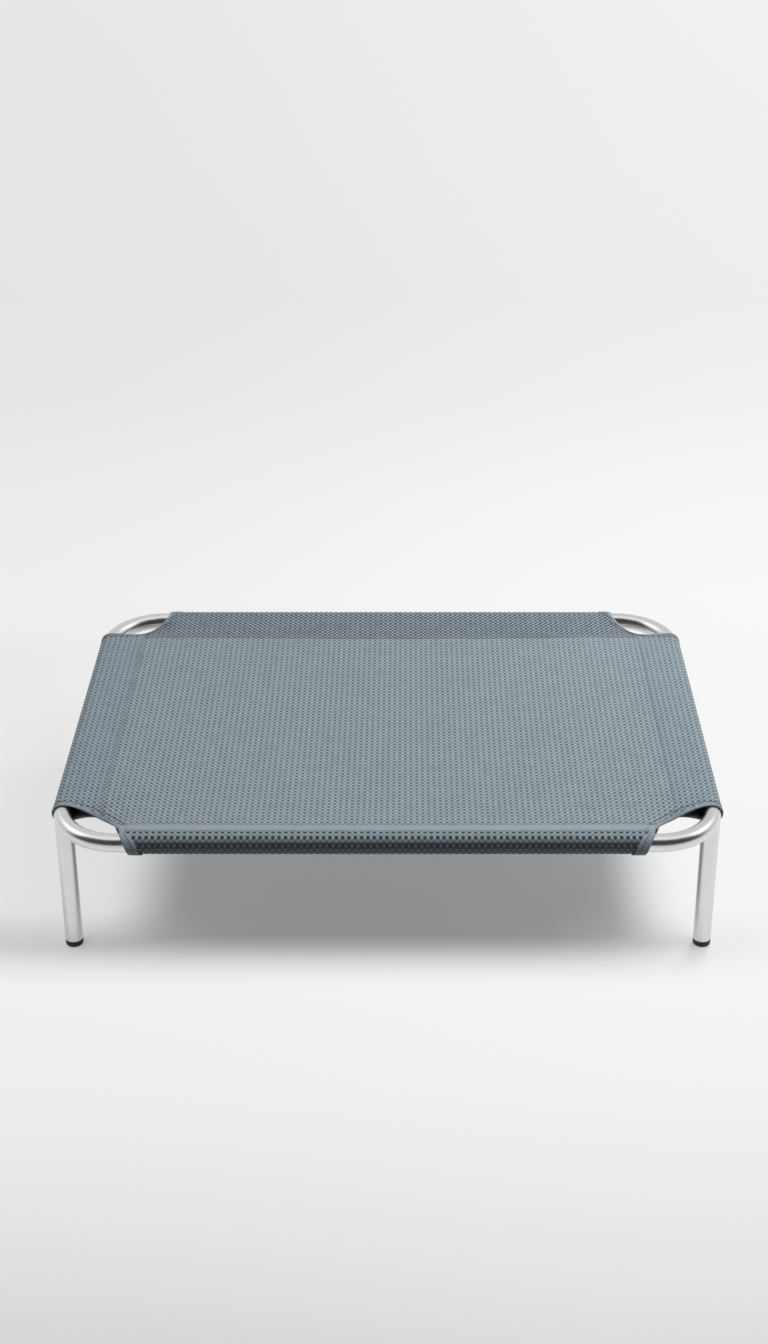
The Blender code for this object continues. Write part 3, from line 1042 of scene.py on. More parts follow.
@dataclass(frozen=True)
class TubeFrame:
    """The visible frame: four bent corner tubes, four legs and their foot glides."""

    sizes: BedSizes
    palette: Palette
    tube_sides: int = 56
    bend_steps: int = 30
    fillet: float = 0.0045
    fillet_steps: int = 8
    fillet_reach: float = 0.985
    fillet_power: int = 4
    weld_rise: float = 0.00004
    inner_rise: float = 0.002
    wall_rows: int = 6
    foot_rows: int = 3
    foot_bevel: float = 0.0005
    wall_start: float = 0.00125
    foot_round: float = 0.0030
    foot_lip: float = 0.0006
    round_points: int = 7
    sole_inset: float = 0.001
    lip_share: float = 0.2

    def bend_plan(self, corner: Corner, angle: Array) -> Array:
        """Return places on plan of a bend's centre line.

        Args:
            corner: the corner.
            angle: angles counted from the side rail.

        Returns:
            The places, one row each.
        """
        sizes = self.sizes
        sign_x, sign_y = corner.value
        x = sizes.half_x - sizes.bend_radius * (1.0 - np.cos(angle))
        y = sizes.half_y - sizes.bend_radius * (1.0 - np.sin(angle))
        return np.stack([sign_x * x, sign_y * y], 1)

    def foot_place(self, corner: Corner) -> Array:
        """Return the place on plan of a leg's centre line."""
        return self.bend_plan(corner, np.array([self.sizes.leg_angle]))[0]

    def corner_tube(self, corner: Corner) -> bpy.types.Object:
        """Make a bent tube: a tail along each rail and a quarter bend between.

        Args:
            corner: the corner.

        Returns:
            The tube.
        """
        sizes = self.sizes
        angles = np.concatenate([[0.0], np.linspace(0.0, math.pi / 2, self.bend_steps + 1), [math.pi / 2]])
        tails = np.zeros(len(angles))
        tails[0], tails[-1] = 1.0, 1.0
        centres = self.bend_plan(corner, angles)
        sign_x, sign_y = corner.value
        centres[0, 1] -= sign_y * sizes.corner_tail
        centres[-1, 0] -= sign_x * sizes.corner_tail
        outward = np.stack([sign_x * np.cos(angles), sign_y * np.sin(angles)], 1)
        last = len(angles) - 1

        def place(around: Array, along: Array) -> Array:
            """Return places on the tube's skin.

            Args:
                around: shares of the way round.
                along: shares of the way from tail to tail.

            Returns:
                The places.
            """
            station = np.rint(along * last).astype(int)
            off = sizes.tube_radius * ring(around)
            plan = centres[station] + outward[station] * off[:, :1]
            return np.column_stack([plan, sizes.rail_height + off[:, 1]])

        tube = mapped_grid("bend_tube_" + corner.label, self.tube_sides, last, place, closed=True)
        thicken(tube, sizes.tube_wall, -1.0)
        return tube

    def leg(self, corner: Corner) -> bpy.types.Object:
        """Make a leg, its top blended into the bend above it by the weld.

        Args:
            corner: the corner.

        Returns:
            The leg.
        """
        sizes = self.sizes
        foot = self.foot_place(corner)
        rails = np.array([sizes.half_x, sizes.half_y])
        bend_middle = np.array(corner.value) * (rails - sizes.bend_radius)
        bottom = sizes.foot_height + sizes.gap
        fillet_row = self.foot_rows + self.wall_rows
        rows = fillet_row + self.fillet_steps + 2

        def under_bend(plan: Array) -> tuple[Array, Array]:
            """Return how far plan places lie from the bend's centre line.

            Args:
                plan: the places on plan.

            Returns:
                The distances, and the heights of the bend's underside there.
            """
            most = self.fillet_reach * sizes.tube_radius
            off = np.linalg.norm(plan - bend_middle, axis=1) - sizes.bend_radius
            off = np.clip(off, -most, most)
            return off, sizes.rail_height - np.sqrt(sizes.tube_radius**2 - off**2)

        def onto_bend(plan: Array) -> Array:
            """Return plan places drawn in, so that none lies outside the bend.

            Args:
                plan: the places on plan.

            Returns:
                The places, drawn in.
            """
            way = plan - bend_middle
            reach = np.linalg.norm(way, axis=1)[:, None]
            off, _ = under_bend(plan)
            return bend_middle + way / reach * (sizes.bend_radius + off)[:, None]

        def place(around: Array, along: Array) -> Array:
            """Return places on the leg's skin, from its foot up into the bend.

            Args:
                around: shares of the way round.
                along: shares of the way up.

            Returns:
                The places.
            """
            way = ring(around)
            plan = foot + way * sizes.tube_radius
            off, meet = under_bend(plan)
            reach = self.fillet * (1.0 - (off / sizes.tube_radius) ** self.fillet_power)
            spread = onto_bend(plan + way * reach[:, None])
            rise = under_bend(spread)[1] + self.weld_rise
            row = np.rint(along * rows).astype(int)
            step = np.clip((row - fillet_row) / self.fillet_steps, 0.0, 1.0)
            climb = np.clip((row - self.foot_rows) / self.wall_rows, 0.0, 1.0)
            first = bottom + self.wall_start
            wall = first + (meet - reach - first) * climb
            height = (1 - step) ** 2 * wall + 2 * step * (1 - step) * meet + step**2 * rise
            flat = plan + (spread - plan) * (step**2)[:, None]
            sole = foot + way * (sizes.tube_radius - self.foot_bevel)
            flat = np.where((row == 1)[:, None], sole, flat)
            flat = np.where(((row == 0) | (row == rows))[:, None], foot, flat)
            height = np.where(row == 2, bottom + self.foot_bevel, height)
            height = np.where(row < 2, bottom, height)
            height = np.where(row == rows - 1, height + self.inner_rise, height)
            height = np.where(row == rows, sizes.rail_height, height)
            return np.column_stack([flat, height])

        return mapped_grid("leg_tube_" + corner.label, self.tube_sides, rows, place, closed=True)

    def glide_outline(self) -> Array:
        """Work out a foot glide's turned outline.

        Returns:
            The radii and heights, from the sole to the top.
        """
        radius, top, lip = self.sizes.tube_radius, self.sizes.foot_height, self.foot_lip
        part = self.lip_share * lip
        turn = np.linspace(0.0, math.pi / 2.0, self.round_points)
        edge = self.foot_round * (1.0 - np.stack([np.sin(turn), np.cos(turn)], 1))
        edge[:, 0] = radius - edge[:, 0]
        sole = [(0.0, 0.0), (radius - self.foot_round - self.sole_inset, 0.0)]
        rim = [(radius, top - lip), (radius - part, top - part), (radius - lip, top)]
        return np.concatenate([sole, edge, rim, [(0.0, top)]])

    def glide(self, corner: Corner) -> bpy.types.Object:
        """Make the visible head of a foot glide.

        Args:
            corner: the corner.

        Returns:
            The head.
        """
        outline = self.glide_outline()
        foot = self.foot_place(corner)
        last = len(outline) - 1

        def place(around: Array, along: Array) -> Array:
            """Return places on the glide's skin."""
            point = outline[np.rint(along * last).astype(int)]
            return np.column_stack([foot + ring(around) * point[:, :1], point[:, 1]])

        return mapped_grid("foot_head_" + corner.label, self.tube_sides, last, place, closed=True)

    def build(self) -> list[bpy.types.Object]:
        """Make and dress every visible piece of the frame, and dress the hidden ones.

        Returns:
            The new pieces.
        """
        made = []
        for corner in Corner:
            tube = finish_piece(self.corner_tube(corner), self.palette.aluminium)
            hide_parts("corner_tube_" + corner.label)
            leg = finish_piece(self.leg(corner), self.palette.aluminium)
            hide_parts("leg_" + corner.label)
            glide = finish_piece(self.glide(corner), self.palette.glide)
            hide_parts("foot_glide_" + corner.label)
            made += [tube, leg, glide]
        self.dress_hidden()
        return made

    def dress_hidden(self) -> None:
        """Give the rails, joiners and screws their finishes."""
        finishes = {
            "joiner": self.palette.mill_aluminium,
            "screw": self.palette.steel,
            "rail": self.palette.aluminium,
        }
        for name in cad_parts:
            for word, material in finishes.items():
                if word in name:
                    node = bpy.data.objects[name]
                    node.data.materials.clear()
                    node.data.materials.append(material)
                    break


@dataclass(frozen=True)
class Cloth:
    """The surface of the sling, addressed by places on the cloth laid flat.

    A flat place has the same X and Y as the sheet's top. Past the middle of a rail it counts on
    along the cloth, round the rail and back to the seam underneath.
    """

    sizes: BedSizes
    slack: float = 0.0010
    thickness: float = 0.0010
    lift_step: float = 0.0004
    seam_layers: float = 1.5
    belly: float = 0.0008
    sag: float = 0.014
    corner_droop: float = 0.0085
    droop_reach: float = 0.028
    droop_power: float = 1.6
    side_seam: float = 0.053
    front_seam: float = 0.026
    back_seam: float = 0.082
    cut_on_side_rail: float = 0.074
    cut_on_end_rail: float = 0.088
    edge_width: float = 0.0042
    end_width: float = 0.0100
    cut_lead: float = 0.008
    cut_bow: float = 0.015
    end_flare: float = 0.40
    side_flare: float = 0.06
    flare_reach: float = 0.040
    tuck_start: float = 0.050
    tuck_run: float = 0.012
    widening: Span = (-0.014, 0.018)
    splay: float = 0.30
    splay_run: Span = (0.004, 0.018)
    tape_proud: float = 0.00055
    tape_hang: float = 0.0012
    hang_run: Span = (0.010, 0.014)

    @property
    def wrap_radius(self) -> float:
        """Return the radius of the cloth's middle where it goes round a rail."""
        return self.sizes.tube_radius + self.slack

    def cut_ends(self) -> tuple[Array, Array]:
        """Return where a corner's cut begins and ends, measured from its two rails."""
        return (
            np.array([self.cut_lead, self.cut_on_side_rail]),
            np.array([self.cut_on_end_rail, self.cut_lead]),
        )

    def cut_circle(self) -> tuple[Array, float]:
        """Work out the circle of a corner's cut.

        Returns:
            The circle's middle, measured from the corner's two rails, and its radius.
        """
        start, end = self.cut_ends()
        chord = end - start
        length = np.linalg.norm(chord)
        way = np.array([-chord[1], chord[0]]) / length
        radius = (length / 2.0) ** 2 / (2.0 * self.cut_bow) + self.cut_bow / 2.0
        return (start + end) / 2.0 + way * (self.cut_bow - radius), radius

    def cut_angles(self) -> tuple[float, float]:
        """Work out the angles of the cut's ends round its circle's middle.

        Returns:
            The angles, the side rail's end first.
        """
        middle, _ = self.cut_circle()
        start, end = (place - middle for place in self.cut_ends())
        return math.atan2(start[1], start[0]), math.atan2(end[1], end[0])

    def cut_arc(self, off: Array, on_end_rail: bool) -> Array:
        """Return how far along a rail from the corner the cut's arc lies, at distances off the rail.

        Args:
            off: distances inboard of the rail.
            on_end_rail: True for the front and back rails.

        Returns:
            The distances from the corner.
        """
        middle, radius = self.cut_circle()
        if not on_end_rail:
            middle = middle[::-1]
        return middle[0] + np.sqrt(np.clip(radius**2 - (off - middle[1]) ** 2, 0.0, None))

    def end_of_wrap(self, past: Array, on_end_rail: bool) -> Array:
        """Return how far from the corner the cloth ends, past a rail's middle.

        Args:
            past: distances along the cloth past the top of the rail.
            on_end_rail: True on the front and back rails.

        Returns:
            The distances. The layer below the panel follows the panel's own cut.
        """
        flare = self.end_flare if on_end_rail else self.side_flare
        base = self.cut_on_end_rail if on_end_rail else self.cut_on_side_rail
        flared = base + flare * np.clip(past, 0.0, self.flare_reach)
        under = self.cut_arc(np.clip(past - self.tuck_start, 0.0, None), on_end_rail)
        share = smooth(past, self.tuck_start - self.tuck_run, 2.0 * self.tuck_run)
        return flared * (1.0 - share) + under * share

    def into_cloth(self, from_side: Array, from_end: Array) -> Array:
        """Return how far flat places lie inside the cut edge.

        Args:
            from_side: their distances from the side rail.
            from_end: their distances from the end rail.

        Returns:
            The distances, negative outside the cloth.
        """
        middle, radius = self.cut_circle()
        arc = np.hypot(from_side - middle[0], from_end - middle[1]) - radius
        by_side = from_end - self.end_of_wrap(-from_side, False)
        by_end = from_side - self.end_of_wrap(-from_end, True)
        inside = np.where(from_side < self.cut_lead, by_side, arc)
        return np.where(from_end < self.cut_lead, by_end, inside)

    def cut_edge(self, off: Array, on_end_rail: bool) -> Array:
        """Return how far along a rail from the corner the cloth's edge lies, inboard of it or past it.

        Args:
            off: distances inboard of the rail, negative past it.
            on_end_rail: True for the front and back rails.

        Returns:
            The distances from the corner.
        """
        wrapped = self.end_of_wrap(-off, on_end_rail)
        return np.where(off < self.cut_lead, wrapped, self.cut_arc(off, on_end_rail))

    def top_height(self, x: Array, y: Array) -> Array:
        """Return the height of the sling's top layer, with its sag and its loose corner edges.

        Args:
            x: the part along X.
            y: the part along Y.

        Returns:
            The heights.
        """
        sizes = self.sizes
        across = np.clip(1.0 - (x / sizes.half_x) ** 2, 0.0, None)
        along = np.clip(1.0 - (y / sizes.half_y) ** 2, 0.0, None)
        from_side, from_end = sizes.half_x - np.abs(x), sizes.half_y - np.abs(y)
        middle, _ = self.cut_circle()
        first, last = self.cut_angles()
        angle = np.arctan2(from_end - middle[1], from_side - middle[0])
        share = np.clip((angle - first) / (last - first), 0.0, 1.0)
        inside = self.into_cloth(np.maximum(from_side, 0.0), np.maximum(from_end, 0.0))
        droop = self.corner_droop * np.sin(math.pi * share) ** self.droop_power
        droop = droop * np.exp(-np.clip(inside, 0.0, None) / self.droop_reach)
        for off_rail in (from_side, from_end):
            droop = droop * np.clip(off_rail / self.cut_lead, 0.0, 1.0)
        return sizes.rail_height + self.wrap_radius - self.sag * across * along - droop

    def fold(self, past: Array, seam: float, seam_drop: Array) -> tuple[Array, Array]:
        """Return the pocket's skin as distances inboard of its rail and heights above it.

        Args:
            past: distances along the cloth past the top of the rail.
            seam: how far inboard the pocket is sewn.
            seam_drop: how far the seam hangs below the top of the rail.

        Returns:
            The distances inboard and the heights.
        """
        radius = self.wrap_radius
        height = radius - seam_drop - self.seam_layers * self.thickness
        reach = np.hypot(seam, height)
        stop = 1.5 * math.pi + np.arctan2(height, seam) - np.arccos(np.clip(radius / reach, -1.0, 1.0))
        turn = np.clip(past / radius, 0.0, stop)
        rest = np.clip(past - stop * radius, 0.0, None)
        wide = radius + self.belly * np.sin(np.clip(turn / stop, 0.0, 1.0) * math.pi) ** 2
        inboard = -wide * np.sin(turn) - rest * np.cos(turn)
        above = wide * np.cos(turn) - rest * np.sin(turn)
        return inboard, above

    def fold_length(self, seam: float) -> float:
        """Return the cloth's length from the top of a rail round it and back to the seam.

        Args:
            seam: how far inboard the pocket is sewn.

        Returns:
            The length.
        """
        height = self.wrap_radius - self.seam_layers * self.thickness
        reach = math.hypot(seam, height)
        tangent = math.acos(self.wrap_radius / reach)
        stop = 1.5 * math.pi + math.atan2(height, seam) - tangent
        return stop * self.wrap_radius + reach * math.sin(tangent)

    def seam_of(self, side: Side) -> float:
        """Return how far inboard a side's pocket is sewn."""
        return {Side.FRONT: self.front_seam, Side.BACK: self.back_seam}.get(side, self.side_seam)

    def skin(self, flat: Array) -> Array:
        """Return the places of flat places on the cloth's middle.

        Args:
            flat: flat places, one row each.

        Returns:
            Their places in the scene.
        """
        sizes = self.sizes
        x, y = flat[:, 0], flat[:, 1]
        past_side, past_end = np.abs(x) - sizes.half_x, np.abs(y) - sizes.half_y
        inner_x = np.clip(x, -sizes.half_x, sizes.half_x)
        inner_y = np.clip(y, -sizes.half_y, sizes.half_y)
        places = np.column_stack([inner_x, inner_y, self.top_height(inner_x, inner_y)])
        top = sizes.rail_height + self.wrap_radius
        for side in Side:
            axis = 1 if side.is_end else 0
            past = past_end if side.is_end else past_side
            chosen = (past > 0.0) & (flat[:, axis] * side.sign > 0.0)
            if not chosen.any():
                continue
            seam = self.seam_of(side)
            at_seam = flat[chosen].copy()
            at_seam[:, axis] = side.sign * (sizes.rail_off(side) - seam)
            drop = top - self.top_height(at_seam[:, 0], at_seam[:, 1])
            inboard, above = self.fold(past[chosen], seam, drop)
            places[chosen, axis] = side.sign * (sizes.rail_off(side) - inboard)
            places[chosen, 2] = sizes.rail_height + above
        return places

    def lifted(self, flat: Array, lift: Array) -> Array:
        """Return places off the cloth's middle.

        Args:
            flat: flat places, one row each.
            lift: how far off, positive towards the outer face.

        Returns:
            Their places in the scene.
        """
        step = self.lift_step
        east = self.skin(flat + (step, 0.0)) - self.skin(flat - (step, 0.0))
        north = self.skin(flat + (0.0, step)) - self.skin(flat - (0.0, step))
        outward = np.cross(east, north)
        outward /= np.maximum(np.linalg.norm(outward, axis=1), 1e-12)[:, None]
        return self.skin(flat) + outward * lift[:, None]

    def nearest_cut(self, flat: Array) -> Array:
        """Return how far flat places lie inside the nearest corner's cut edge."""
        sizes = self.sizes
        return self.into_cloth(sizes.half_x - np.abs(flat[:, 0]), sizes.half_y - np.abs(flat[:, 1]))

    def tape_width(self, flat: Array) -> Array:
        """Return the tape's width at flat places: narrow on top, wide on the pockets' ends.

        Args:
            flat: flat places, one row each.

        Returns:
            The widths.
        """
        past = np.abs(flat[:, 1]) - self.sizes.half_y
        start, run = self.splay_run
        wider = (self.end_width - self.edge_width) * smooth(past, *self.widening)
        wider = wider + self.splay * np.clip(past - start, 0.0, run)
        tucked = np.clip((past - self.tuck_start) / self.tuck_run, 0.0, 1.0)
        return self.edge_width + wider * (1.0 - tucked)

    def tape_lift(self, flat: Array) -> Array:
        """Return how far the tape stands off the cloth's middle: more where it hangs at the ends.

        Args:
            flat: flat places, one row each.

        Returns:
            The distances.
        """
        past = np.abs(flat[:, 1]) - self.sizes.half_y
        start, run = self.hang_run
        loose = np.clip((past - start) / run, 0.0, 1.0)
        loose = loose * np.clip((self.tuck_start - past) / self.tuck_run, 0.0, 1.0)
        return self.thickness / 2.0 + self.tape_proud + self.tape_hang * loose


@dataclass(frozen=True)
class PatchUnit:
    """A small domed patch, such as one float of yarn or one stitch."""

    length: float
    width: float
    height: float
    sunk: float
    cells: tuple[int, int]
    pinch: float = 0.28

    def local(self) -> tuple[Array, Array]:
        """Shape the patch on a flat cloth.

        Returns:
            The flat places and how far each is lifted, in the grid's own order.
        """
        work = bmesh.new()
        bmesh.ops.create_grid(work, x_segments=self.cells[0], y_segments=self.cells[1], size=1.0)
        spots = np.array([vert.co[:2] for vert in work.verts])
        work.free()
        along, across = spots.T
        dome = np.clip(1.0 - along**4, 0.0, 1.0) * np.clip(1.0 - across**2, 0.0, 1.0)
        across = across * (1.0 - self.pinch * along**2)
        flat = np.stack([along * self.length / 2.0, across * self.width / 2.0], 1)
        return flat, np.sqrt(dome) * (self.height + self.sunk) - self.sunk

    def scatter(
        self,
        name: str,
        cloth: Cloth,
        spots: Array,
        turns: Array,
        base: float | Array,
        scales: Array | None = None,
    ) -> bpy.types.Object:
        """Lay one copy of the patch at each spot of the cloth.

        Args:
            name: the object's name.
            cloth: the surface.
            spots: the flat places of the copies.
            turns: the angle of each copy on the flat cloth.
            base: how far off the cloth's middle the copies start, for all or for each.
            scales: how much longer and wider each copy is, or None.

        Returns:
            One object that holds every copy.
        """
        work = bmesh.new()
        bmesh.ops.create_grid(work, x_segments=self.cells[0], y_segments=self.cells[1], size=1.0)
        seed = object_from(work, name + "_unit")
        row = seed.modifiers.new("copies", "ARRAY")
        row.count = len(spots)
        row.use_relative_offset = False
        row.use_constant_offset = True
        row.constant_offset_displace = (3.0, 0.0, 0.0)
        bpy.context.view_layer.update()
        mesh = bpy.data.meshes.new_from_object(seed.evaluated_get(bpy.context.evaluated_depsgraph_get()))
        mesh.name = name
        bpy.data.objects.remove(seed, do_unlink=True)
        obj = object_of(name, mesh)
        local, lift = self.local()
        cosine, sine = np.cos(turns)[:, None], np.sin(turns)[:, None]
        factors = np.ones((len(spots), 2)) if scales is None else scales
        long, wide = local[None, :, 0] * factors[:, :1], local[None, :, 1] * factors[:, 1:]
        shift_x = long * cosine - wide * sine
        shift_y = long * sine + wide * cosine
        flat = np.stack([spots[:, :1] + shift_x, spots[:, 1:] + shift_y], 2).reshape(-1, 2)
        lifts = np.broadcast_to(base, len(spots))[:, None] + lift[None, :]
        set_vertex_places(mesh, cloth.lifted(flat, lifts.ravel()))
        chart_mesh(mesh, flat)
        return obj


@dataclass(frozen=True)
class Sling:
    """The woven sling: panel, pockets, floats, welded strip, taped edges and stitches."""

    sizes: BedSizes
    palette: Palette
    cloth: Cloth
    cell: float = 0.0065
    wrap_cell: float = 0.0025
    seam_gap: float = 0.0002
    fold_gap: float = 0.001
    under_run: float = 0.026
    float_stop: float = 0.010
    float_sunk: float = 0.0004
    float_cells: tuple[int, int] = (3, 2)
    float_wobble: float = 0.06
    float_shift: float = 0.00012
    between_scale: Span = (0.80, 0.86)
    tape_clear: float = 0.0012
    strip_inner: float = 0.0265
    strip_outer: float = 0.0108
    strip_clear: Span = (0.001, 0.0022)
    strip_proud: float = 0.0001
    strip_rise: float = 0.00035
    strip_edge: float = 0.12
    strip_spare: float = 0.001
    strip_cells: tuple[int, int] = (120, 16)
    tape_stop: float = 0.004
    tape_fold: float = 0.0010
    tape_tuck: float = 0.6
    tape_thickness: float = 0.0004
    tape_points: int = 180
    tape_cells: int = 20
    join_gap: float = 0.001
    run_points: int = 60
    line_smoothings: int = 3
    stitch_pitch: float = 0.0046
    stitch_cells: tuple[int, int] = (4, 2)
    stitch_height: float = 0.0003
    stitch_sunk: float = 0.0002
    stitch_proud: float = 0.0005
    tape_stitch_proud: float = 0.0003
    seam_stitch: Span = (0.66, 0.0011)
    hem_stitch: Span = (0.68, 0.0015)
    side_rows: Span = (0.0022, 0.0062)
    side_row_stops: Span = (0.034, 0.052)
    back_row: Span = (0.003, 0.062)
    front_row: Span = (0.0065, 0.098)
    hem: float = 0.0105
    hem_start: float = 0.004
    hem_pitch: float = 0.75
    hem_on_tape: float = 0.62
    hem_change: float = 0.004

    def flat_sheet(
        self, name: str, columns: int, rows: int, lay: Placer, material: bpy.types.Material
    ) -> bpy.types.Object:
        """Make a sheet of the cloth.

        Args:
            name: the object's name.
            columns: cells along the first direction.
            rows: cells along the second direction.
            lay: gives flat places for two arrays of shares.
            material: its finish.

        Returns:
            The dressed sheet.
        """

        def place(first: Array, second: Array) -> Array:
            """Return places on the sheet."""
            return self.cloth.skin(lay(first, second))

        sheet = mapped_grid(name, columns, rows, place, chart=lay)
        thicken(sheet, self.cloth.thickness, 0.0)
        return finish_piece(sheet, material)

    def half_width(self, from_end: Array) -> Array:
        """Return half the cloth's width between its side seams or cut corners.

        Args:
            from_end: distances inboard of the end rail.

        Returns:
            The half widths.
        """
        cloth = self.cloth
        edge = np.where(from_end > cloth.cut_on_side_rail, cloth.side_seam, cloth.cut_edge(from_end, True))
        return self.sizes.half_x - np.maximum(edge, cloth.side_seam) - self.seam_gap

    def panel_lay(self, across: Array, along: Array) -> Array:
        """Return flat places of the panel, inside its seams and cut corners.

        Args:
            across: shares from left to right.
            along: shares from front to back.

        Returns:
            The flat places.
        """
        sizes, cloth = self.sizes, self.cloth
        length = 2.0 * sizes.half_y - cloth.front_seam - cloth.back_seam
        y = -sizes.half_y + cloth.front_seam + along * length
        return np.stack([(2.0 * across - 1.0) * self.half_width(sizes.half_y - np.abs(y)), y], 1)

    def pocket_lay(self, side: Side) -> Placer:
        """Return the lay of a side's pocket, from its seam over the rail and back underneath.

        Args:
            side: the pocket's side.

        Returns:
            What gives the pocket's flat places for two arrays of shares.
        """
        sizes, cloth = self.sizes, self.cloth
        seam = cloth.seam_of(side)
        length = cloth.fold_length(seam) - self.fold_gap

        def lay(along: Array, round_it: Array) -> Array:
            """Return flat places of the pocket.

            Args:
                along: shares along the rail.
                round_it: shares from the seam round the rail and back.

            Returns:
                The flat places.
            """
            past = -seam + round_it * (seam + length)
            outward = side.sign * (sizes.rail_off(side) + past)
            if side.is_end:
                return np.stack([(2.0 * along - 1.0) * self.half_width(-past), outward], 1)
            half = sizes.half_y - cloth.cut_edge(-past, False) - self.seam_gap
            return np.stack([outward, (2.0 * along - 1.0) * half], 1)

        return lay

    def float_spots(self, weave: Weave, low: Span, high: Span) -> tuple[Array, Array]:
        """Return the floats of a flat rectangle, clear of the taped edges.

        Args:
            weave: the lattice that they follow.
            low: the rectangle's lowest corner.
            high: its highest corner.

        Returns:
            Their flat places, and True for those that lie over a rib.
        """
        wide, tall = weave.pitch
        columns = np.arange(math.floor(low[0] / wide) - 1, math.ceil(high[0] / wide) + 2)
        first, last = (low[1] - weave.origin[1]) / tall, (high[1] - weave.origin[1]) / tall
        rows = np.arange(math.floor(first) - 1, math.ceil(last) + 2)
        column, row = [part.ravel() for part in np.meshgrid(columns, rows, indexing="ij")]
        over_rib = np.stack([(column + 0.5) * wide, row * tall + weave.origin[1]], 1)
        between = np.stack([column * wide, (row + 0.5) * tall + weave.origin[1]], 1)
        spots = np.concatenate([over_rib, between])
        is_rib = np.arange(len(spots)) < len(over_rib)
        inside = ((spots > low) & (spots < high)).all(axis=1)
        inside &= self.cloth.nearest_cut(spots) > self.cloth.tape_width(spots) + self.tape_clear
        from_front = self.sizes.half_y + spots[:, 1]
        outer, inner = self.strip_clear
        inside &= (from_front < self.strip_outer - outer) | (from_front > self.strip_inner + inner)
        return spots[inside], is_rib[inside]

    def weave_on(self, name: str, low: Span, high: Span, cloths: Cloths) -> bpy.types.Object:
        """Make the raised floats of a flat rectangle of the cloth.

        Args:
            name: the piece's name.
            low: the rectangle's lowest corner.
            high: its highest corner.
            cloths: the finishes.

        Returns:
            The piece that holds them all.
        """
        weave = cloths.weave
        spots, is_rib = self.float_spots(weave, low, high)
        chance = np.random.default_rng(len(spots))
        wobble = chance.normal(0.0, 1.0, (len(spots), 5))
        scales = np.where(is_rib[:, None], (1.0, 1.0), self.between_scale)
        scales = scales * (1.0 + self.float_wobble * wobble[:, :2])
        size = (weave.float_length, weave.float_width, weave.float_height)
        unit = PatchUnit(*size, self.float_sunk, self.float_cells)
        floats = unit.scatter(
            name,
            self.cloth,
            spots + self.float_shift * wobble[:, 2:4],
            self.float_wobble * wobble[:, 4],
            self.cloth.thickness / 2.0,
            scales,
        )
        LOG.info("%s: %d floats", name, len(spots))
        return finish_piece(floats, cloths.yarn)

    def panel(self) -> None:
        """Make the panel between the seams, with its floats."""
        sizes, cloth = self.sizes, self.cloth
        width = 2.0 * (sizes.half_x - cloth.side_seam)
        length = 2.0 * sizes.half_y - cloth.front_seam - cloth.back_seam
        ground = self.flat_sheet(
            "sling_sheet",
            round(width / self.cell),
            round(length / self.cell),
            self.panel_lay,
            self.palette.cloths["panel"].ground,
        )
        low = (-width / 2.0, -sizes.half_y + cloth.front_seam)
        high = (width / 2.0, sizes.half_y - cloth.back_seam)
        floats = self.weave_on("sling_floats", low, high, self.palette.cloths["panel"])
        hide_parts("sling_panel")

    def pocket(self, side: Side) -> None:
        """Make one pocket round its rail, with its floats on the outside.

        Args:
            side: the pocket's side.
        """
        sizes, cloth = self.sizes, self.cloth
        seam = cloth.seam_of(side)
        length = cloth.fold_length(seam)
        cloths = self.palette.cloths[side.label if side.is_end else "side"]
        rail_half = sizes.half_x if side.is_end else sizes.half_y
        run = 2.0 * (rail_half - (cloth.cut_on_end_rail if side.is_end else cloth.cut_on_side_rail))
        ground = self.flat_sheet(
            side.label + "_pocket_sheet",
            round(run / self.cell),
            round((seam + length) / self.wrap_cell),
            self.pocket_lay(side),
            cloths.ground,
        )
        inner, outer = sizes.rail_off(side) - seam, sizes.rail_off(side) + length - self.float_stop
        near, far = sorted((side.sign * inner, side.sign * outer))
        inner_x = sizes.half_x - cloth.side_seam
        low = (-inner_x, near) if side.is_end else (near, -sizes.half_y)
        high = (inner_x, far) if side.is_end else (far, sizes.half_y)
        floats = self.weave_on(side.label + "_pocket_floats", low, high, cloths)
        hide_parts(side.label + "_pocket")

    def edge_line(self, corner: Corner) -> tuple[Array, Array]:
        """Follow a corner's cut edge, with the ends of its two pockets.

        Args:
            corner: the corner.

        Returns:
            The edge's points, measured from the corner's two rails, and the way into the cloth at each.
        """
        cloth = self.cloth
        middle, radius = cloth.cut_circle()
        angles = np.linspace(*cloth.cut_angles(), self.run_points)
        arc = middle + radius * np.stack([np.cos(angles), np.sin(angles)], 1)
        seam = cloth.front_seam if corner.value[1] < 0 else cloth.back_seam
        joint = -cloth.cut_lead + self.join_gap
        side_run = np.linspace(cloth.fold_length(cloth.side_seam) - self.tape_stop, joint, self.run_points)
        end_run = np.linspace(joint, cloth.fold_length(seam) - self.tape_stop, self.run_points)
        on_side = np.stack([-side_run, cloth.end_of_wrap(side_run, False)], 1)
        on_end = np.stack([cloth.end_of_wrap(end_run, True), -end_run], 1)
        line = np.concatenate([on_side, arc, on_end])
        spacing = distances(line)
        line = along_line(np.linspace(0.0, spacing[-1], self.tape_points), spacing, line)
        for _ in range(self.line_smoothings):
            line[1:-1] = (line[:-2] + 2.0 * line[1:-1] + line[2:]) / 4.0
        tangent = np.gradient(line, axis=0)
        tangent /= np.linalg.norm(tangent, axis=1)[:, None]
        inward = np.stack([-tangent[:, 1], tangent[:, 0]], 1)
        return line, inward

    def to_flat(self, corner: Corner, from_rails: Array) -> Array:
        """Return flat places from distances to a corner's two rails."""
        rails = np.array([self.sizes.half_x, self.sizes.half_y])
        return np.array(corner.value) * (rails - from_rails)

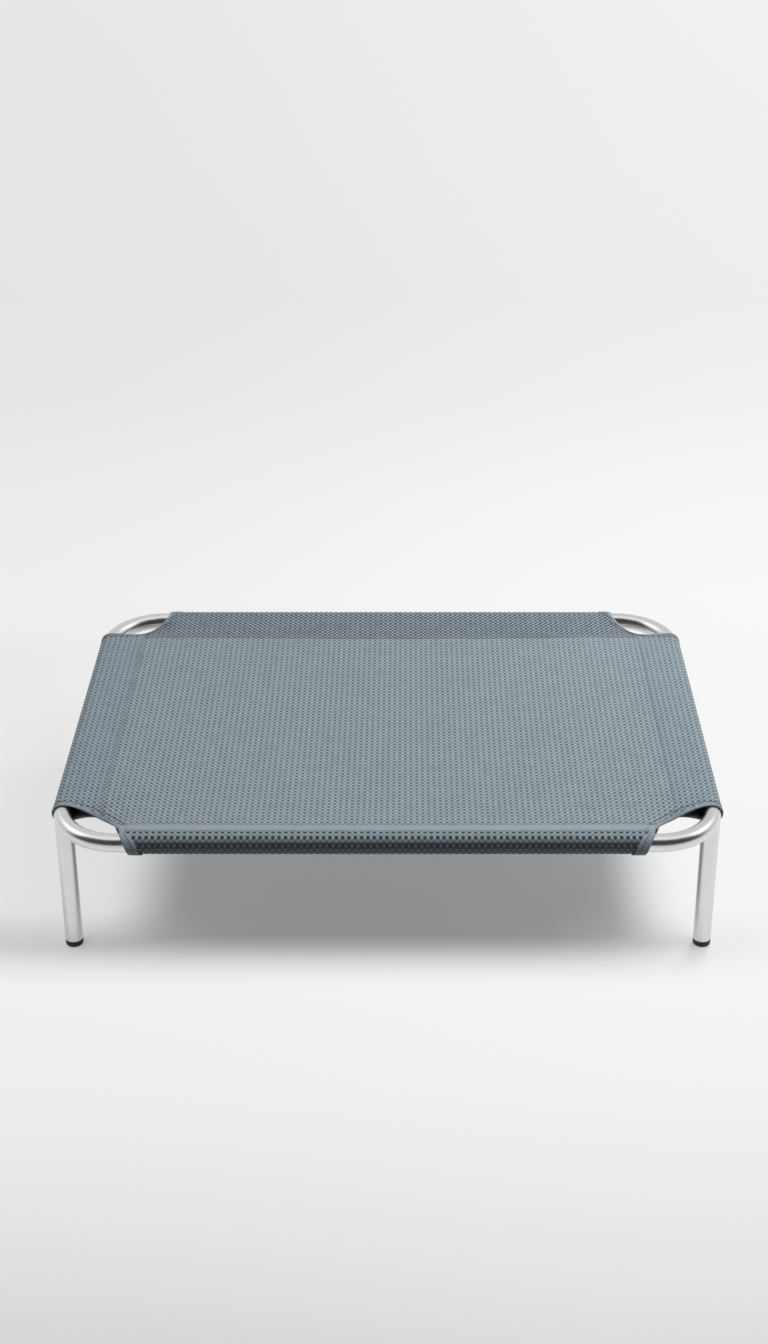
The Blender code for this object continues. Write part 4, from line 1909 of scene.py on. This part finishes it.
    def tape(self, corner: Corner) -> None:
        """Make the tape folded over a corner's cut edge.

        Args:
            corner: the corner.
        """
        line, inward = self.edge_line(corner)
        length = float(np.linalg.norm(np.diff(line, axis=0), axis=1).sum())
        last = len(line) - 1
        half_fold = math.pi * self.tape_fold / 2.0
        on_cloth = self.to_flat(corner, line)
        width, off = self.cloth.tape_width(on_cloth), self.cloth.tape_lift(on_cloth)

        def spread(share: Array, station: Array) -> tuple[Array, Array]:
            """Fold the tape over the edge.

            Args:
                share: shares across the tape.
                station: which point of the edge each one is at.

            Returns:
                How far in from the edge the tape lies, and how far off the cloth's middle.
            """
            across = (2.0 * share - 1.0) * (width[station] + half_fold)
            on_face = np.clip(np.abs(across) - half_fold, 0.0, None)
            turn = np.clip(np.abs(across) / self.tape_fold, 0.0, math.pi / 2.0)
            inset = on_face - self.tape_fold * self.tape_tuck * np.cos(turn)
            return inset, np.sign(across) * off[station] * np.sin(turn)

        def place(along: Array, across: Array) -> Array:
            """Return places on the tape.

            Args:
                along: shares along the edge.
                across: shares across the tape.

            Returns:
                The places.
            """
            station = np.rint(along * last).astype(int)
            inset, lift = spread(across, station)
            flat = self.to_flat(corner, line[station] + inward[station] * inset[:, None])
            return self.cloth.lifted(flat, lift)

        def chart(along: Array, across: Array) -> Array:
            """Return the tape's own flat places."""
            station = np.rint(along * last).astype(int)
            return np.stack([along * length, (across - 0.5) * 2.0 * width[station]], 1)

        tape = mapped_grid("edge_tape_" + corner.label, last, self.tape_cells, place, chart=chart)
        thicken(tape, self.tape_thickness, 0.0)
        finish_piece(tape, self.palette.tape)
        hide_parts("binding_" + corner.label)

    def welded_strip(self) -> None:
        """Make the smooth welded strip along the front pocket's seam."""
        sizes, cloth = self.sizes, self.cloth
        low, high = -sizes.half_y + self.strip_outer, -sizes.half_y + self.strip_inner
        ends = cloth.cut_edge(np.array([self.strip_outer, self.strip_inner]), True) + cloth.edge_width

        def lay(along: Array, across: Array) -> Array:
            """Return flat places of the strip."""
            half = sizes.half_x - np.interp(across, [0.0, 1.0], ends)
            return np.stack([(2.0 * along - 1.0) * half, low + across * (high - low)], 1)

        def place(along: Array, across: Array) -> Array:
            """Return places on the strip, a little proud of the mesh."""
            rise = np.sqrt(np.clip(np.minimum(across, 1.0 - across) / self.strip_edge, 0.0, 1.0))
            base = cloth.thickness / 2.0 + self.strip_proud
            return cloth.lifted(lay(along, across), base + self.strip_rise * rise)

        strip = mapped_grid("front_welded_strip", *self.strip_cells, place, chart=lay)
        finish_piece(strip, self.palette.weld)

    def stitch_rows(self) -> tuple[Array, Array]:
        """Set out the stitches of the seams.

        Returns:
            The flat places of the stitches along the seams, and their angles.
        """
        sizes, cloth = self.sizes, self.cloth
        spots, turns = [], []
        front_stop, back_stop = self.side_row_stops
        y = np.arange(-sizes.half_y + front_stop, sizes.half_y - back_stop, self.stitch_pitch)
        for sign in (-1, 1):
            for inset in self.side_rows:
                x = np.full(len(y), sign * (sizes.half_x - cloth.side_seam + inset))
                spots.append(np.stack([x, y], 1))
                turns.append(np.full(len(y), math.pi / 2.0))
        (back_in, back_inset), (front_in, front_inset) = self.back_row, self.front_row
        back, front = sizes.half_y - cloth.back_seam + back_in, -sizes.half_y + front_in
        for level, inset in ((back, back_inset), (front, front_inset)):
            x = np.arange(-sizes.half_x + inset, sizes.half_x - inset, self.stitch_pitch)
            spots.append(np.stack([x, np.full(len(x), level)], 1))
            turns.append(np.zeros(len(x)))
        places, angles = np.concatenate(spots), np.concatenate(turns)
        clear = cloth.nearest_cut(places) > cloth.tape_width(places)
        return places[clear], angles[clear]

    def tape_stitches(self, corner: Corner) -> tuple[Array, Array, Array]:
        """Set out the stitches along one tape.

        Args:
            corner: the corner.

        Returns:
            Their flat places, their angles, and how far off the cloth's middle they start.
        """
        cloth = self.cloth
        line, inward = self.edge_line(corner)
        spacing = distances(line)
        at = np.arange(self.hem_start, spacing[-1], self.stitch_pitch * self.hem_pitch)
        on_cloth = self.to_flat(corner, line)
        width = cloth.tape_width(on_cloth)
        on_tape = np.clip((width - cloth.edge_width) / self.hem_change, 0.0, 1.0)
        row = line + inward * (self.hem + (self.hem_on_tape * width - self.hem) * on_tape)[:, None]
        on_mesh = cloth.thickness / 2.0 + self.stitch_proud
        base = on_mesh + (cloth.tape_lift(on_cloth) + self.tape_stitch_proud - on_mesh) * on_tape
        flat = self.to_flat(corner, along_line(at, spacing, row))
        way = np.gradient(flat, axis=0)
        return flat, np.arctan2(way[:, 1], way[:, 0]), np.interp(at, spacing, base)

    def stitch(self, share: float, width: float) -> PatchUnit:
        """Return one stitch, as long as a share of the stitches' pitch."""
        length = self.stitch_pitch * share
        return PatchUnit(length, width, self.stitch_height, self.stitch_sunk, self.stitch_cells)

    def stitches(self) -> None:
        """Make every visible stitch, on the seams and along the tapes."""
        spots, turns = self.stitch_rows()
        base = self.cloth.thickness / 2.0 + self.stitch_proud
        seams = self.stitch(*self.seam_stitch).scatter("seam_stitches", self.cloth, spots, turns, base)
        finish_piece(seams, self.palette.thread)
        rows = [self.tape_stitches(corner) for corner in Corner]
        spots, turns, bases = (np.concatenate(part) for part in zip(*rows))
        edges = self.stitch(*self.hem_stitch).scatter("hem_stitches", self.cloth, spots, turns, bases)
        finish_piece(edges, self.palette.hem_thread)

    def build(self) -> None:
        """Make every piece of the sling."""
        for side in Side:
            self.pocket(side)
            LOG.info("%s pocket made", side.label)
        self.panel()
        self.welded_strip()
        for corner in Corner:
            self.tape(corner)
        self.stitches()
        LOG.info("sling made")


@dataclass(frozen=True)
class Lamp:
    """A square soft lamp."""

    name: str
    place: Place
    aim: Place
    size: float
    power: float

    def build(self) -> None:
        """Hang the lamp and turn it to what it lights."""
        data = bpy.data.lights.new(self.name, "AREA")
        data.shape = "SQUARE"
        data.size = self.size
        data.energy = self.power
        lamp = object_of(self.name, data)
        lamp.visible_glossy = False
        lamp.location = self.place
        way = Vector(self.aim) - Vector(self.place)
        lamp.rotation_euler = way.to_track_quat("-Z", "Y").to_euler()


@dataclass(frozen=True)
class Studio:
    """The plain pale studio: camera, floor, three soft lamps and a room, darker behind the camera.

    The room lights the bed with one soft lobe and its far side. Metal mirrors a ceiling, a far wall
    and a tall box at each side instead. A span says where each of these begins and where it is full,
    as a part of the way from the bed.
    """

    camera_place: Place = (0.0274, -2.6561, 1.6919)
    camera_pitch: float = math.radians(27.847)
    focal_pixels: float = 2040.4
    image_size: tuple[int, int] = (768, 1344)
    middle_pixel: float = 407.4
    floor_half: float = 30.0
    backdrop: Colour = (0.90, 0.90, 0.90)
    brightest: Place = (0.0, 0.342, 0.940)
    room_dark: float = 0.04
    room_bright: float = 0.60
    room_falloff: float = 3.2
    room_back: float = 0.53
    back_lead: float = 0.1
    back_gain: float = 3.0
    ceiling: float = 1.02
    ceiling_span: Span = (0.90, 0.985)
    ceiling_widening: float = 0.22
    walls: float = 0.74
    wall_span: Span = (-0.40, 0.28)
    side_boxes: float = 1.75
    box_aside: Span = (0.42, 0.60)
    box_up: Span = (0.40, 0.56)
    box_behind: Span = (-0.25, 0.0)
    camera_side: float = 0.055
    lamps: tuple[Lamp, ...] = (
        Lamp("left_lamp", (-1.30, -0.70, 2.75), (0.0, 0.0, 0.15), 1.30, 17.5),
        Lamp("right_lamp", (1.30, -0.45, 2.45), (0.05, 0.0, 0.15), 1.20, 24.0),
        Lamp("back_lamp", (1.05, 1.15, 1.55), (0.2, 0.1, 0.15), 0.70, 22.5),
    )

    def camera(self) -> None:
        """Set up the camera at the photographed angle."""
        data = bpy.data.cameras.new("camera")
        data.sensor_width = 36.0
        data.lens = self.focal_pixels / self.image_size[1] * data.sensor_width
        data.shift_x = -(self.middle_pixel - self.image_size[0] / 2.0) / self.image_size[1]
        camera = object_of("camera", data)
        camera.location = self.camera_place
        camera.rotation_euler = (math.pi / 2.0 - self.camera_pitch, 0.0, 0.0)
        bpy.context.scene.camera = camera

    def floor(self) -> None:
        """Lay the pale floor."""
        work = bmesh.new()
        bmesh.ops.create_grid(work, x_segments=1, y_segments=1, size=self.floor_half)
        floor = object_from(work, "studio_floor")
        floor.data.materials.append(PaleFloor().build())

    def lit_level(self, nodes: Tree, towards: object, y: object) -> bpy.types.NodeSocket:
        """Return how brightly the room lights the bed from one way.

        Args:
            nodes: the world's nodes.
            towards: how far the way points at the brightest part of the room.
            y: the way's part along Y.

        Returns:
            The brightness.
        """
        lobe = nodes.maths("POWER", nodes.maths("MAXIMUM", towards, 0.0), self.room_falloff)
        lobe = nodes.maths("ADD", nodes.maths("MULTIPLY", lobe, self.room_bright), self.room_dark)
        behind = nodes.maths("MAXIMUM", nodes.maths("ADD", y, self.back_lead), 0.0)
        behind = nodes.maths("MULTIPLY", behind, self.back_gain * self.room_back)
        return nodes.maths("MAXIMUM", lobe, nodes.maths("MINIMUM", behind, self.room_back))

    def mirrored_level(self, nodes: Tree, x: object, y: object, z: object) -> bpy.types.NodeSocket:
        """Return how bright the room looks in the bed's metal, one way.

        Args:
            nodes: the nodes to add to.
            x: the part along X.
            y: the part along Y.
            z: the part along Z.

        Returns:
            The brightness.
        """
        aside = nodes.maths("ABSOLUTE", x)
        up = nodes.maths("ADD", z, nodes.maths("MULTIPLY", aside, self.ceiling_widening))
        overhead = nodes.ramp(up, self.ceiling_span, (0.0, self.ceiling))
        wall = nodes.ramp(y, self.wall_span, (0.0, self.walls))
        box = nodes.maths(
            "MULTIPLY",
            nodes.ramp(aside, self.box_aside, (0.0, self.side_boxes)),
            nodes.ramp(z, self.box_up),
            nodes.ramp(y, self.box_behind),
        )
        return nodes.maths("MAXIMUM", overhead, wall, box, self.camera_side)

    def world(self) -> None:
        """Light the room from above and behind, as a big soft ceiling does."""
        world = bpy.data.worlds.new("studio_room")
        bpy.context.scene.world = world
        world.use_nodes = True
        nodes = Tree(world.node_tree)
        way = nodes.add("TexCoord").outputs["Generated"]
        towards = nodes.add("VectorMath", operation="DOT_PRODUCT")
        nodes.feed(towards.inputs[0], way)
        nodes.feed(towards.inputs[1], self.brightest)
        x, y, z = nodes.parts(way)
        rays = nodes.add("LightPath").outputs

        def background(strength: object, colour: Colour = WHITE) -> bpy.types.NodeSocket:
            """Add a Background node.

            Args:
                strength: its brightness.
                colour: its colour.

            Returns:
                The shader's socket.
            """
            node = nodes.add("Background")
            nodes.feed(node.inputs[0], colour)
            nodes.feed(node.inputs[1], strength)
            return node.outputs[0]

        lit = background(self.lit_level(nodes, towards.outputs["Value"], y))
        mirrored = background(self.mirrored_level(nodes, x, y, z))
        shown = nodes.blend(rays["Is Glossy Ray"], lit, mirrored)
        shown = nodes.blend(rays["Is Camera Ray"], shown, background(1.0, self.backdrop))
        nodes.feed(nodes.tree.nodes["World Output"].inputs[0], shown)

    def build(self) -> None:
        """Set up the whole studio."""
        self.camera()
        self.floor()
        self.world()
        for lamp in self.lamps:
            lamp.build()
        bpy.context.scene.view_settings.view_transform = "Standard"


def main() -> None:
    """Dress the bed and set up the studio."""
    logging.basicConfig(level=logging.INFO, format="%(name)s: %(message)s")
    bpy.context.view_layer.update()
    Studio().build()
    sizes = BedSizes.measured()
    palette = Palette.mixed(sizes)
    made = TubeFrame(sizes, palette).build()
    LOG.info("frame made: %d pieces", len(made))
    Sling(sizes, palette, Cloth(sizes)).build()
    bpy.context.view_layer.update()


if __name__ == "__main__":
    main()
